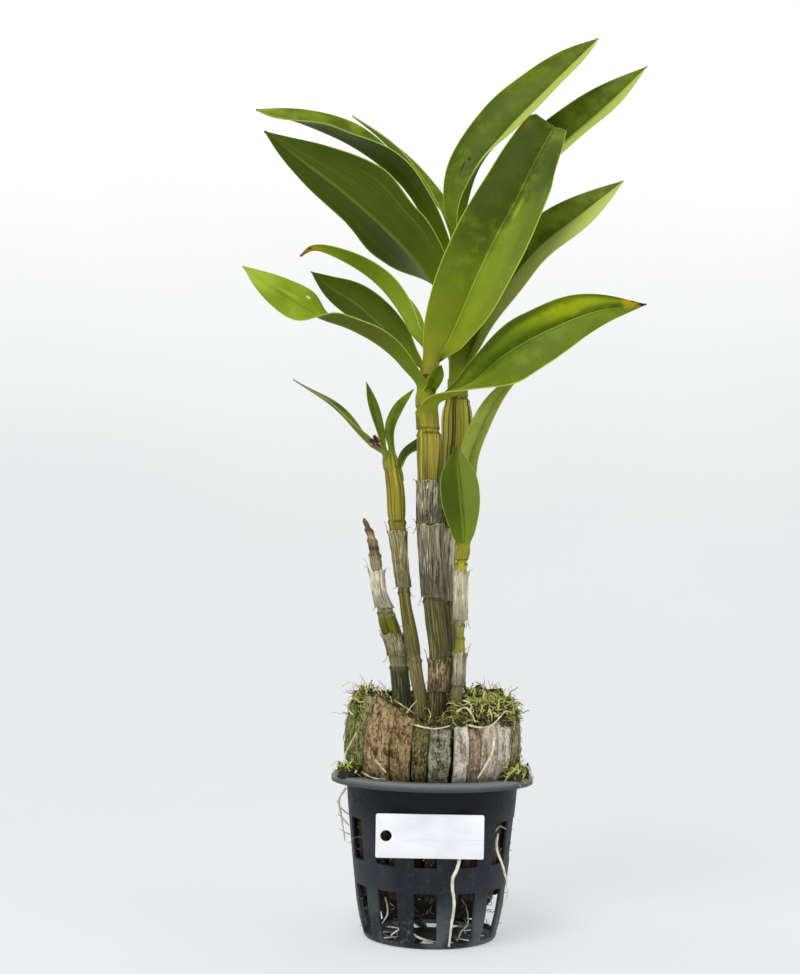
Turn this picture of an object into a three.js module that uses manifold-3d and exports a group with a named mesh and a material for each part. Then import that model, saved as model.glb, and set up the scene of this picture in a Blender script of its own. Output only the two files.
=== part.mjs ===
// Dendrobium orchid in its slatted net pot.
//
// Five jointed canes stand in a ball of moss and roots, which a ring of coconut-husk
// strips holds in the pot. Folded, pointed leaves clasp the canes, dry papery sheaths
// wrap their lower joints, and a blank tag leans on the pot's front.
//
// Millimetres, +Z up. The origin is the centre of the flat foot under the pot,
// +X points to the plant's right and -Y to its front.

import * as THREE from 'three';
import { mergeVertices } from 'three/addons/utils/BufferGeometryUtils.js';
import Module from 'manifold-3d';

const wasm = await Module();
wasm.setup();

// ---------------------------------------------------------------- driving dimensions

const GAP = 0.35;                   // clearance between two pieces that touch

const FLATNESS = 0.05;              // facets this close to one plane are merged

const POT_SEGMENTS = 36;
const POT_WALL = 1.3;
const RIM_Z = 76.3;
const RIM_RADIUS = 48.2;
const RIM_LIP = 3.5;
const FLOOR = 1.8;
const FLOOR_RADIUS = 28;
const POT_OUTSIDE = [               // [radius, height] of the wall, foot to rim
  [29.6, 0], [31.4, 1.2], [32.6, 5], [33.9, 10], [35.2, 17], [37.3, 35.3], [40.2, 63.3],
  [41, RIM_Z - RIM_LIP],
];

const SLOT_COLUMNS = 12;
const SLOT_WIDTH = 10.6;
const SLOT_ROWS = [[2.6, 25.7], [37.6, 56.8]];
const FLOOR_SLOT = { inner: 12, outer: 25, width: 3.6 };

const TAG = { width: 49, height: 20, thick: 0.8, corner: 0.8, hole: 5.2 };
const TAG_CENTRE = new THREE.Vector3(-1.5, 0, 52.4);

const HUSK_FOOT_Z = 22;
const HUSK_PROFILE = [              // [height, radius] of the ring where it stands free
  [RIM_Z, 38.6], [83, 41.2], [92, 42.2], [103, 41.2], [118, 38.2],
];
const BALL_GAP_TO_WALL = 5.2;       // room for the husk ring round the root ball

const CANE_SIDES = 10;
const CANE_STEP = 11;               // spacing of the rings that shape a cane
const NODE_RIDGE = 0.45;            // how far a joint's ring stands out
const SHEATH_WALL = 0.7;

const BLADE_EDGE = 0.7;             // blade thickness at the margin
const BLADE_KEEL = 1.3;             // and at the midrib
const BLADE_STATIONS = 11;

// ---------------------------------------------------------------- finishes

function finish(color, roughness) {
  return new THREE.MeshStandardMaterial({ color, roughness, metalness: 0 });
}

const POT_PLASTIC = finish('#2b3138', 0.42);
const TAG_PLASTIC = finish('#f1f1ee', 0.5);
const HUSK_TAN = finish('#a08a5c', 0.95);
const HUSK_GREY = finish('#8f8d78', 0.95);
const MOSS_AND_ROOT = finish('#6d6a36', 1.0);
const ROOT_WHITE = finish('#d9d3bb', 0.8);
const CANE_GREEN = finish('#98963a', 0.55);
const CANE_OLD = finish('#7f7a45', 0.7);
const SHEATH_PAPER = finish('#b9b3a4', 0.85);
const LEAF_GREEN = finish('#4c6a12', 0.4);
const LEAF_LIGHT = finish('#86a62f', 0.42);
const LEAF_DARK = finish('#34510c', 0.42);
const FLOWER_DRY = finish('#8a5f55', 0.9);

// ---------------------------------------------------------------- general helpers

function seeded(seed) {
  let state = seed;
  return () => {
    state = (state * 1664525 + 1013904223) % 4294967296;
    return state / 4294967296;
  };
}

const radians = THREE.MathUtils.degToRad;
const { lerp, smoothstep } = THREE.MathUtils;
const vector = ([x, y, z]) => new THREE.Vector3(x, y, z);

// Value of a list of evenly spaced keys at t = 0..1, eased from key to key.
function eased(keys, t) {
  const place = t * (keys.length - 1);
  const index = Math.min(Math.floor(place), keys.length - 2);
  return lerp(keys[index], keys[index + 1], smoothstep(place - index, 0, 1));
}

// Value at z of a column of rows sorted by their first entry, as one smooth curve.
function smoothRow(rows, z, column) {
  const last = rows.length - 1;
  let i = 0;
  while (i < last - 1 && z > rows[i + 1][0]) i += 1;
  const slope = (a, b) => (rows[b][column] - rows[a][column]) / (rows[b][0] - rows[a][0]);
  const here = i === 0 ? slope(0, 1) : slope(i - 1, i + 1);
  const next = i + 1 === last ? slope(last - 1, last) : slope(i, i + 2);
  const span = rows[i + 1][0] - rows[i][0];
  const u = (z - rows[i][0]) / span;
  const from = rows[i][column];
  const to = rows[i + 1][column];
  return (2 * u ** 3 - 3 * u ** 2 + 1) * from + (u ** 3 - 2 * u ** 2 + u) * span * here
    + (3 * u ** 2 - 2 * u ** 3) * to + (u ** 3 - u ** 2) * span * next;
}

function geometryFrom(points, triangles) {
  const geometry = new THREE.BufferGeometry();
  geometry.setAttribute('position', new THREE.Float32BufferAttribute(points.flat(), 3));
  geometry.setIndex(triangles.flat());
  return geometry;
}

// Closed solid between two grids of points, front[row][column] and back[row][column].
// Both faces are split into triangles alike, so a waved sheet never cuts itself.
// A sheet that wraps joins its last column to its first, which makes a tube.
function sheet(front, back, wraps = false) {
  const rows = front.length;
  const columns = front[0].length;
  const points = [...front.flat(), ...back.flat()].map((p) => p.toArray());
  const top = (row, column) => row * columns + (column % columns);
  const under = (row, column) => rows * columns + top(row, column);
  const triangles = [];
  const quad = (a, b, c, d) => triangles.push([a, b, c], [a, c, d]);
  const strips = wraps ? columns : columns - 1;
  for (let row = 0; row < rows - 1; row += 1) {
    for (let column = 0; column < strips; column += 1) {
      const next = column + 1;
      quad(top(row, column), top(row, next), top(row + 1, next), top(row + 1, column));
      triangles.push(
        [under(row, column), under(row + 1, next), under(row, next)],
        [under(row, column), under(row + 1, column), under(row + 1, next)],
      );
    }
    if (!wraps) {
      quad(under(row, 0), top(row, 0), top(row + 1, 0), under(row + 1, 0));
      const edge = columns - 1;
      quad(top(row, edge), under(row, edge), under(row + 1, edge), top(row + 1, edge));
    }
  }
  const end = rows - 1;
  for (let column = 0; column < strips; column += 1) {
    const next = column + 1;
    quad(under(0, column), under(0, next), top(0, next), top(0, column));
    quad(top(end, column), top(end, next), under(end, next), under(end, column));
  }
  return geometryFrom(points, triangles);
}

// Closed solid through rings of points, with a flat or domed fan at each end.
function rod(rings) {
  const sides = rings[0].length;
  const points = rings.flat().map((p) => p.toArray());
  const triangles = [];
  for (let ring = 0; ring < rings.length - 1; ring += 1) {
    for (let side = 0; side < sides; side += 1) {
      const a = ring * sides + side;
      const b = ring * sides + ((side + 1) % sides);
      triangles.push([a, b, b + sides], [a, b + sides, a + sides]);
    }
  }
  const last = (rings.length - 1) * sides;
  for (let side = 1; side < sides - 1; side += 1) {
    triangles.push([0, side + 1, side], [last, last + side, last + side + 1]);
  }
  return geometryFrom(points, triangles);
}

function ringAt(centre, radius, sides, turn = 0) {
  return Array.from({ length: sides }, (_, side) => {
    const angle = (2 * Math.PI * side) / sides + turn;
    return new THREE.Vector3(
      centre.x + radius * Math.cos(angle), centre.y + radius * Math.sin(angle), centre.z);
  });
}

// Round string of the given radius along hand-placed points.
function strand(points, radius, sides = 6, steps = 14) {
  const curve = new THREE.CatmullRomCurve3(points.map(vector));
  const frames = curve.computeFrenetFrames(steps, false);
  const rings = [];
  for (let step = 0; step <= steps; step += 1) {
    const centre = curve.getPointAt(step / steps);
    const thin = radius * (1 - 0.35 * (step / steps) ** 2);
    rings.push(Array.from({ length: sides }, (_, side) => {
      const angle = (2 * Math.PI * side) / sides;
      return centre.clone()
        .addScaledVector(frames.normals[step], thin * Math.cos(angle))
        .addScaledVector(frames.binormals[step], thin * Math.sin(angle));
    }));
  }
  return rod(rings);
}

// ---------------------------------------------------------------- joining and cutting

function solid(geometry) {
  const bare = geometry.clone();
  bare.deleteAttribute('normal');
  bare.deleteAttribute('uv');
  const merged = mergeVertices(bare);
  return new wasm.Manifold(new wasm.Mesh({
    numProp: 3,
    vertProperties: new Float32Array(merged.attributes.position.array),
    triVerts: new Uint32Array(merged.index.array),
  }));
}

// The largest body of a solid, so that a loose scrap left by a cut is dropped.
function body(solidShape) {
  const bodies = solidShape.simplify(FLATNESS).decompose();
  const mesh = bodies.sort((a, b) => b.volume() - a.volume())[0].getMesh();
  const geometry = new THREE.BufferGeometry();
  geometry.setAttribute('position', new THREE.Float32BufferAttribute(mesh.vertProperties, 3));
  geometry.setIndex(Array.from(mesh.triVerts));
  return geometry;
}

const model = new THREE.Group();

function add(name, geometry, material) {
  const mesh = new THREE.Mesh(geometry, material);
  mesh.name = name;
  model.add(mesh);
  return mesh;
}

// ---------------------------------------------------------------- pot

function wallRadius(z) {
  const above = POT_OUTSIDE.findIndex(([, height]) => height >= z);
  if (above < 0) return POT_OUTSIDE[POT_OUTSIDE.length - 1][0];
  const [r1, z1] = POT_OUTSIDE[above];
  const [r0, z0] = POT_OUTSIDE[Math.max(above - 1, 0)];
  return z1 === z0 ? r1 : r0 + ((r1 - r0) * (z - z0)) / (z1 - z0);
}

function potGeometry() {
  const inside = POT_OUTSIDE.slice(2).reverse().map(([r, z]) => [r - POT_WALL, z]);
  const wallTop = POT_OUTSIDE.at(-1)[0];
  const lipInside = RIM_RADIUS - POT_WALL;
  const flangeUnder = RIM_Z - POT_WALL;
  const profile = [
    [0, 0], ...POT_OUTSIDE.slice(0, -1), [wallTop, flangeUnder], [lipInside, flangeUnder],
    [lipInside, RIM_Z - RIM_LIP], [RIM_RADIUS, RIM_Z - RIM_LIP], [RIM_RADIUS, RIM_Z - 0.5],
    [RIM_RADIUS - 0.5, RIM_Z], [wallTop - POT_WALL + 0.5, RIM_Z],
    [wallTop - POT_WALL, RIM_Z - 0.5], ...inside.slice(1), [FLOOR_RADIUS, FLOOR], [0, FLOOR],
  ];
  const turned = new THREE.LatheGeometry(
    profile.map(([r, z]) => new THREE.Vector2(r, z)), POT_SEGMENTS);
  let pot = solid(turned.rotateX(Math.PI / 2));
  for (let column = 0; column < SLOT_COLUMNS; column += 1) {
    const angle = radians(-95 + (360 / SLOT_COLUMNS) * column);
    for (const [low, high] of SLOT_ROWS) {
      const cutter = new THREE.BoxGeometry(20, SLOT_WIDTH, high - low)
        .translate(36, 0, (low + high) / 2).rotateZ(angle);
      pot = pot.subtract(solid(cutter));
    }
    const { inner, outer, width } = FLOOR_SLOT;
    const floorCutter = new THREE.BoxGeometry(outer - inner, width, 3 * FLOOR)
      .translate((inner + outer) / 2, 0, 0).rotateZ(angle);
    pot = pot.subtract(solid(floorCutter));
  }
  return body(pot);
}

add('net_pot', potGeometry(), POT_PLASTIC);

// ---------------------------------------------------------------- tag

// A blank plate with one round hole, leaning on the wall between the slots.
function tagGeometry() {
  const { width, height, thick, corner, hole } = TAG;
  const x = width / 2;
  const y = height / 2;
  const outline = new THREE.Shape();
  outline.moveTo(-x + corner, -y);
  outline.lineTo(x - corner, -y);
  outline.quadraticCurveTo(x, -y, x, -y + corner);
  outline.lineTo(x, y - corner);
  outline.quadraticCurveTo(x, y, x - corner, y);
  outline.lineTo(-x + corner, y);
  outline.quadraticCurveTo(-x, y, -x, y - corner);
  outline.lineTo(-x, -y + corner);
  outline.quadraticCurveTo(-x, -y, -x + corner, -y);
  const eye = new THREE.Path();
  eye.absarc(-x + 4.7, 0, hole / 2, 0, 2 * Math.PI, true);
  outline.holes.push(eye);
  const plate = new THREE.ExtrudeGeometry(outline, {
    depth: thick, bevelEnabled: false, curveSegments: 8,
  });
  return body(solid(plate.rotateX(Math.PI / 2)));
}

const tagFoot = TAG_CENTRE.z - TAG.height / 2;
const tagTop = TAG_CENTRE.z + TAG.height / 2;
const tagLean = Math.atan((wallRadius(tagTop) - wallRadius(tagFoot)) / TAG.height);
const tag = add('plant_tag', tagGeometry(), TAG_PLASTIC);
tag.rotation.x = tagLean;
tag.position.set(TAG_CENTRE.x, -wallRadius(TAG_CENTRE.z) - GAP, TAG_CENTRE.z);

// ---------------------------------------------------------------- husk ring and root ball

function huskRadius(z) {
  if (z >= RIM_Z) return smoothRow(HUSK_PROFILE, z, 1);
  return Math.min(wallRadius(z) - POT_WALL - 2 * GAP, HUSK_PROFILE[0][1]) - 0.5;
}

// One strip of husk. Azimuth is measured from the front, positive to the right, and
// the strip's foot trails its top by the slant. Its torn top edge runs between two heights.
function huskStrip({ from, to, top, slant, thick, tear }) {
  const rows = 5;
  const columns = Math.max(2, Math.round((to - from) / 9));
  const face = [];
  const inner = [];
  for (let row = 0; row <= rows; row += 1) {
    const up = row / rows;
    const outside = [];
    const inside = [];
    for (let column = 0; column <= columns; column += 1) {
      const across = column / columns;
      const torn = row === rows ? tear * Math.cos(7 * column + from) : 0;
      const z = lerp(HUSK_FOOT_Z, lerp(top[0], top[1], across), up) + torn;
      const azimuth = radians(lerp(from, to, across) - slant * (1 - up) - 90);
      const round = Math.sin(Math.PI * across);
      const radius = huskRadius(z) - 0.5 + 0.5 * round;
      const wall = thick * (0.75 + 0.25 * round);
      const point = (reach) => new THREE.Vector3(
        reach * Math.cos(azimuth), reach * Math.sin(azimuth), z);
      outside.push(point(radius));
      inside.push(point(radius - wall));
    }
    face.push(outside);
    inner.push(inside);
  }
  return sheet(face, inner);
}

const HUSK_STRIPS = [               // front, from the left round to the right
  { from: -78, to: -62, top: [112, 116], slant: 15, thick: 3.6, tear: 1.2, finish: HUSK_GREY },
  { from: -60, to: -49, top: [114, 113], slant: 16, thick: 2.8, tear: 1.0, finish: HUSK_TAN },
  { from: -47, to: -27, top: [115, 109], slant: 16, thick: 3.4, tear: 0.6, finish: HUSK_TAN },
  { from: -26, to: -14, top: [109, 104], slant: 11, thick: 3.6, tear: 0.8, finish: HUSK_TAN },
  { from: -12.5, to: -4, top: [104, 101], slant: 7, thick: 2.8, tear: 0.6, finish: HUSK_TAN },
  { from: -2.5, to: 10, top: [101, 100], slant: 4, thick: 3.6, tear: 0.6, finish: HUSK_GREY },
  { from: 13.5, to: 22, top: [101, 102], slant: 1, thick: 3.2, tear: 0.8, finish: HUSK_GREY },
  { from: 23.5, to: 30, top: [101, 100], slant: -1, thick: 2.6, tear: 1.2, finish: HUSK_TAN },
  { from: 31.5, to: 44, top: [101, 103], slant: -1, thick: 3.4, tear: 1.0, finish: HUSK_TAN },
  { from: 46, to: 60, top: [105, 107], slant: -1, thick: 3.8, tear: 1.0, finish: HUSK_GREY },
  { from: 62, to: 79, top: [107, 110], slant: -1, thick: 3.2, tear: 1.2, finish: HUSK_TAN },
];

// The back of the ring is six broader strips of uneven height.
const BACK_STRIPS = 6;
const BACK_FROM = 80;
const BACK_PITCH = (360 - BACK_FROM - 80) / BACK_STRIPS;
const backDraw = seeded(11);
for (let strip = 0; strip < BACK_STRIPS; strip += 1) {
  const from = BACK_FROM + BACK_PITCH * strip;
  HUSK_STRIPS.push({
    from,
    to: from + BACK_PITCH - 4,
    top: [110 + 7 * backDraw(), 110 + 7 * backDraw()],
    slant: lerp(-1, 14, strip / (BACK_STRIPS - 1)),
    thick: 3 + backDraw(),
    tear: 1 + 1.5 * backDraw(),
    finish: strip % 2 ? HUSK_TAN : HUSK_GREY,
  });
}

HUSK_STRIPS.forEach((strip, index) => {
  add(`husk_strip_${String(index + 1).padStart(2, '0')}`, huskStrip(strip), strip.finish);
});

// ---------------------------------------------------------------- canes

// Rows are [height, x, y, radius] up the cane; joints are the heights of its rings.
const CANES = {
  main: {
    rows: [
      [86, 1, -8, 4.0], [112, 2, -8, 4.3], [135, 2, -9, 4.6], [150, 0, -10, 4.7],
      [169, -2, -10, 4.9], [202, -4, -10, 5.2], [216, -4, -10, 5.3], [226, -4, -10, 5.9],
      [236, -4, -10, 6.0], [243, -5, -10, 5.1], [254, -6, -10, 4.4], [261, -6, -10, 3.2],
      [270, -5, -10, 2.9], [288, -3, -10, 2.3],
    ],
    joints: [158, 193.5, 238, 260],
    finish: CANE_GREEN,
  },
  rear: {
    rows: [
      [86, 7, 10, 4.0], [111, 8, 10, 4.2], [135, 8, 11, 4.4], [159, 6, 12, 4.5],
      [179, 5, 12, 4.8], [199, 6, 12, 5.2], [219, 8, 12, 6.6], [239, 10, 12, 7.8],
      [252, 10, 13, 7.4], [263, 10, 13, 4.6], [289, 9, 14, 3.8], [320, 8, 15, 3.2],
      [341, 8, 16, 2.6],
    ],
    joints: [156, 202, 258, 280, 302, 315],
    finish: CANE_GREEN,
  },
  left: {
    rows: [
      [86, -5, -4, 3.0], [111, -6, -4, 3.1], [121, -8, -4, 3.2], [140, -11, -5, 3.4],
      [156, -14, -5, 2.8], [164, -15, -5, 2.9], [178, -17, -5, 3.3], [197, -19, -5, 4.2],
      [212, -20, -5, 4.3], [224, -22, -5, 3.6], [231, -23, -5, 2.0],
    ],
    joints: [130, 162, 196, 222],
    finish: CANE_GREEN,
  },
  old: {
    rows: [
      [86, -13, 3, 4.2], [111, -15, 2, 4.4], [120, -16, 2, 4.5], [135, -18, 0, 4.6],
      [147, -22, -1, 4.8], [154, -24, -1, 3.8], [163, -27, -2, 3.1], [178, -29, -2, 2.9],
      [188, -31, -2, 2.2], [198, -35, -2, 1.1],
    ],
    joints: [126, 152, 184],
    finish: CANE_OLD,
  },
  young: {
    rows: [
      [86, 10.4, -12, 2.4], [112, 10.6, -12, 2.5], [121, 11.6, -12.4, 2.6], [136, 12, -13, 2.3],
      [146, 12, -13, 2.0], [152, 12, -13, 2.8], [164, 12, -13, 2.9], [175, 12, -13, 2.7],
      [185, 13, -13, 2.2], [189, 13, -13, 1.4],
    ],
    joints: [141, 147, 176],
    finish: CANE_GREEN,
  },
};

function caneAt(cane, z) {
  const [centreX, centreY, radius] = [1, 2, 3].map((column) => smoothRow(cane.rows, z, column));
  const ridge = cane.joints.reduce(
    (sum, joint) => sum + NODE_RIDGE * Math.exp(-(((z - joint) / 1.1) ** 2)), 0);
  return { centre: new THREE.Vector3(centreX, centreY, z), radius: radius + ridge };
}

// Heights of the rings between two heights of a cane: evenly spaced from its foot, and
// three to each joint.
function caneHeights(cane, low, high) {
  const marks = cane.joints.flatMap((joint) => [joint - 1.6, joint, joint + 1.6]);
  for (let z = cane.rows[0][0]; z < high; z += CANE_STEP) marks.push(z);
  const inside = marks.filter((z) => z > low + 1.5 && z < high - 1.5).sort((a, b) => a - b);
  return [low, ...inside.filter((z, i) => i === 0 || z - inside[i - 1] > 1.5), high];
}

function caneGeometry(cane) {
  const rings = caneHeights(cane, cane.rows[0][0], cane.rows.at(-1)[0]).map((z) => {
    const { centre, radius } = caneAt(cane, z);
    return ringAt(centre, radius, CANE_SIDES);
  });
  return rod(rings);
}

// The room that a stretch of cane needs, its rings and a margin included.
function caneRoom(cane, margin, low = cane.rows[0][0], high = cane.rows.at(-1)[0]) {
  const smooth = { ...cane, joints: [] };
  const rings = caneHeights(smooth, low, high).map((z) => {
    const { centre, radius } = caneAt(smooth, z);
    return ringAt(centre, radius + margin, CANE_SIDES);
  });
  return solid(rod(rings));
}

for (const [name, cane] of Object.entries(CANES)) {
  add(`cane_${name}`, caneGeometry(cane), cane.finish);
}

// Tube round a cane from one height to another. Slack widens it at its two rims, and
// tear cuts its upper rim into points.
function sheathGeometry(cane, low, high, { slack = 0, tear = 0 } = {}) {
  const smooth = { ...cane, joints: [] };
  const outer = [];
  const inner = [];
  for (const z of caneHeights(smooth, low, high)) {
    const up = (z - low) / (high - low);
    const loose = GAP + slack * (2 * up - 1) ** 2;
    const shape = (extra) => Array.from({ length: CANE_SIDES }, (_, side) => {
      const torn = z === high ? tear * Math.cos(3.3 * side + low) : 0;
      const { centre, radius } = caneAt(smooth, z + torn);
      return ringAt(centre, radius + loose + extra, CANE_SIDES)[side];
    });
    outer.push(shape(SHEATH_WALL));
    inner.push(shape(0));
  }
  return sheet(outer, inner, true);
}

const DRY_SHEATHS = [
  ['sheath_main_foot', 'main', 116, 131, { tear: 1.4, slack: 0.2 }],
  ['sheath_main_middle', 'main', 160.5, 190, { tear: 0.9, slack: 0.3 }],
  ['sheath_main_upper', 'main', 196, 216, { tear: 1.2, slack: 0.3 }],
  ['sheath_rear', 'rear', 159, 197, { tear: 1.6, slack: 0.4 }],
  ['sheath_left', 'left', 165, 192, { tear: 1.0, slack: 0.3 }],
  ['sheath_old_upper', 'old', 155, 173, { tear: 1.2, slack: 0.4 }],
  ['sheath_old_lower', 'old', 132, 142, { tear: 0.9, slack: 0.2 }],
  ['sheath_young_upper', 'young', 150, 173, { tear: 1.2, slack: 0.3 }],
  ['sheath_young_foot', 'young', 119, 134, { tear: 1.2, slack: 0.2 }],
];

for (const [name, cane, low, high, shape] of DRY_SHEATHS) {
  add(name, sheathGeometry(CANES[cane], low, high, shape), SHEATH_PAPER);
}

// ---------------------------------------------------------------- root ball

const BALL_LOW = 18;
const BALL_HIGH = 99;
const BALL_SIDES = 16;
const BALL_HEIGHTS = [BALL_LOW, 25, 40, 58, RIM_Z, 90, BALL_HIGH];
const CHIPS = 16;

// Lumpy body of moss and fibre, higher at the back than at the front, with chips of
// bark sunk in its top, bored for the canes.
function rootBallGeometry() {
  const draw = seeded(5);
  const mound = (angle) => 3.5 + 4.5 * Math.sin(angle);
  const ring = (shrink, z, uneven) => Array.from({ length: BALL_SIDES }, (_, side) => {
    const angle = (2 * Math.PI * side) / BALL_SIDES;
    const radius = huskRadius(Math.min(z, 92)) - BALL_GAP_TO_WALL - shrink - 1.4 * draw();
    const rise = uneven * (mound(angle) + 2 * draw());
    return new THREE.Vector3(radius * Math.cos(angle), radius * Math.sin(angle), z + rise);
  });
  const rings = BALL_HEIGHTS.map((z, row) => {
    const top = row === BALL_HEIGHTS.length - 1;
    return ring(row === 0 ? 8 : 0, z, top ? 1 : 0);
  });
  let ball = solid(rod([...rings, ring(14, BALL_HIGH + 2, 1)]));
  for (let chip = 0; chip < CHIPS; chip += 1) {
    const angle = 2 * Math.PI * draw();
    const away = 12 + 14 * Math.sqrt(draw());
    const piece = new THREE.BoxGeometry(5 + 5 * draw(), 3 + 3 * draw(), 2 + 3 * draw())
      .rotateX(draw() - 0.5).rotateZ(Math.PI * draw())
      .translate(away * Math.cos(angle), away * Math.sin(angle),
        BALL_HIGH + 2 + mound(angle) + draw());
    ball = ball.add(solid(piece));
  }
  for (const cane of Object.values(CANES)) {
    ball = ball.subtract(caneRoom(cane, GAP, cane.rows[0][0] - GAP, BALL_HIGH + 20));
  }
  return body(ball);
}

add('root_ball', rootBallGeometry(), MOSS_AND_ROOT);

// ---------------------------------------------------------------- leaves

// A leaf's midrib is a few points from its clasping base to its tip. facing holds the
// directions its upper face looks in, and fold how steeply its halves rise from the
// midrib, both from base to tip. Widest is where along the midrib it is widest, neck the
// share of that width at its base, and lean how much one half outgrows the other. Sheath
// is the heights its clasping base wraps round the cane, and clear the room it leaves
// round a cane that it doesn't clasp.
const LEAVES = [
  {
    name: 'leaf_main_terminal', cane: 'main', sheath: [280, 287.4], width: 36,
    finish: LEAF_GREEN,
    midrib: [[-2, -13, 283], [5, -16, 292], [15, -19.5, 314], [28, -21, 335],
      [38, -21.5, 353], [45, -20.5, 369], [50, -17, 381], [54, -10, 388], [56, -3, 388],
      [54, 2, 380]],
    facing: [[0.2, -0.6, 0.8], [-0.5, -1, 0.1], [-0.45, -1, 0.1], [-0.45, -1, 0.1],
      [-0.4, -1, 0.1], [-0.2, -1, 0.2], [0.5, 0.4, 0.8]],
    fold: [45, 16, 14, 10], widest: 0.42, lean: -0.1, stations: 15,
  },
  {
    name: 'leaf_main_right', cane: 'main', sheath: [241, 249.5], width: 29,
    finish: LEAF_LIGHT,
    midrib: [[-1, -14, 248], [14, -20, 261], [33, -24, 277], [55, -26, 289], [75, -26, 297],
      [98, -24, 301]],
    facing: [[-0.5, -0.5, 0.8], [-0.1, -1, 0.1], [0, -1, 0.2]],
    fold: [50, 22, 15], widest: 0.36, neck: 0.65, lean: 0.1,
  },
  {
    name: 'leaf_main_left_low', cane: 'main', sheath: [251.5, 257.5], width: 20,
    finish: LEAF_LIGHT,
    midrib: [[-9, -12, 256], [-16, -16, 269], [-27, -20, 279], [-42, -23, 287],
      [-58, -26, 292], [-72, -28, 299], [-84, -29, 307], [-94, -29, 315]],
    facing: [[0.6, 0.2, 0.8], [0.3, 0.3, 0.9], [0, 0, 1], [-0.1, -1, 0.3], [-0.2, -1, 0]],
    fold: [55, 45, 32, 14, 10], widest: 0.5, fullness: 1.6, lean: 0.12,
  },
  {
    name: 'leaf_main_left_dark', cane: 'main', sheath: [262, 268.5], width: 21,
    finish: LEAF_DARK,
    midrib: [[-8, -7.5, 267], [-22, -2, 286], [-39, 3, 303], [-54, 6, 313], [-64, 7, 321]],
    facing: [[0.6, 0.3, 0.7], [0.3, 0.9, 0.5], [0.3, 0.9, 0.4]],
    fold: [50, 25, 15], widest: 0.5, neck: 0.24,
  },
  {
    name: 'leaf_main_left_curled', cane: 'main', sheath: [272.5, 278.5], width: 20.5,
    finish: LEAF_GREEN,
    midrib: [[-8, -9.5, 276.5], [-18, -9, 297], [-30, -8, 312], [-47, -5, 324],
      [-63, -2, 330], [-69, 0, 327]],
    facing: [[0.6, -0.3, 0.75], [0.5, 0, 0.85], [0.1, 0.5, 0.9]],
    fold: [58, 50, 40], widest: 0.32, neck: 0.3, fullness: 1.05,
  },
  {
    name: 'leaf_main_bract', cane: 'main', width: 7, finish: LEAF_DARK, stations: 5,
    midrib: [[-4, -14.4, 259.5], [-2, -17, 264], [1, -19, 271]],
    facing: [[0.3, -1, 0.3], [0.2, -1, 0]], fold: [30, 20], widest: 0.5, neck: 0.7,
  },
  {
    name: 'leaf_rear_right_low', cane: 'rear', sheath: [260.5, 269], width: 25,
    finish: LEAF_GREEN,
    midrib: [[12.5, 8.8, 266], [19, 5.5, 289], [33, 4, 313], [48, 2, 331], [69, -2, 348],
      [89, -4, 365]],
    facing: [[-0.5, -0.85, 0.2], [-0.5, -0.7, 0.5], [-0.5, -0.7, 0.6]],
    fold: [50, 30, 20], widest: 0.5, neck: 0.6, fullness: 1.6,
  },
  {
    name: 'leaf_rear_left_big', cane: 'rear', sheath: [283, 295], width: 39,
    finish: LEAF_GREEN,
    midrib: [[5.5, 12.5, 293], [-2, 9, 315], [-20, 4, 335], [-48, 0, 359], [-71, -2, 376],
      [-88, -2, 389]],
    facing: [[0.8, 0.3, 0.4], [0.3, 0.9, 0.4], [0.2, 0.9, 0.3]],
    fold: [50, 38, 28], widest: 0.38, neck: 0.49,
  },
  {
    name: 'leaf_rear_right_top', cane: 'rear', sheath: [304.5, 312.5], width: 24,
    finish: LEAF_GREEN,
    midrib: [[11.5, 16.5, 311], [23, 22, 345], [41, 26, 372], [63, 28, 395],
      [85, 28, 415], [106, 26, 436]],
    facing: [[-0.8, -0.1, 0.5], [-0.5, -0.7, 0.5], [-0.5, -0.7, 0.5]],
    fold: [50, 35, 25], widest: 0.5, fullness: 1.6,
  },
  {
    name: 'leaf_rear_left_top', cane: 'rear', sheath: [319, 327], width: 28,
    finish: LEAF_GREEN,
    midrib: [[4, 15.5, 324], [-4, 17, 345], [-19, 19, 369], [-42, 21, 388], [-70, 22, 401],
      [-95, 22, 408]],
    facing: [[0.9, 0.1, 0.4], [0.6, 0.1, 0.8], [0.4, -0.15, 0.9]],
    fold: [60, 52, 42], widest: 0.55, neck: 0.28,
  },
  {
    name: 'leaf_rear_left_back', cane: 'rear', clear: 1.6, width: 15, finish: LEAF_LIGHT,
    midrib: [[9.5, 21.5, 334], [6, 29, 350], [-2, 34, 362], [-12, 37, 375],
      [-22, 38, 387], [-34, 37, 398], [-46, 36, 408]],
    facing: [[0.2, -0.9, 0.4], [0.5, -0.3, 0.8], [0.5, -0.2, 0.8]],
    fold: [35, 40, 30], widest: 0.5, neck: 0.26,
  },
  {
    name: 'leaf_rear_terminal', cane: 'rear', sheath: [331, 340.4], width: 35,
    finish: LEAF_GREEN,
    midrib: [[10.5, 15, 338], [13, 18, 359], [20, 21, 378], [34, 23, 397], [53, 23, 420],
      [80, 20, 448]],
    facing: [[-0.8, -0.3, 0.4], [-0.6, -0.7, 0.4], [-0.5, -0.7, 0.5]],
    fold: [55, 32, 25], widest: 0.5, neck: 0.28, fullness: 1.6,
  },
  {
    name: 'leaf_young_back', cane: 'young', clear: GAP, width: 12.5, finish: LEAF_LIGHT,
    midrib: [[13.8, -10.4, 186], [15, -4, 208], [16, -2, 227], [22, -1, 244], [30, 0, 259],
      [44, 2, 275]],
    facing: [[0, -1, 0.2], [-0.4, -0.8, 0.3], [-0.5, -0.6, 0.6]],
    fold: [40, 35, 20], widest: 0.55, neck: 0.3,
  },
  {
    name: 'leaf_young_front', cane: 'young', sheath: [178, 184.5], width: 21,
    finish: LEAF_GREEN,
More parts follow.
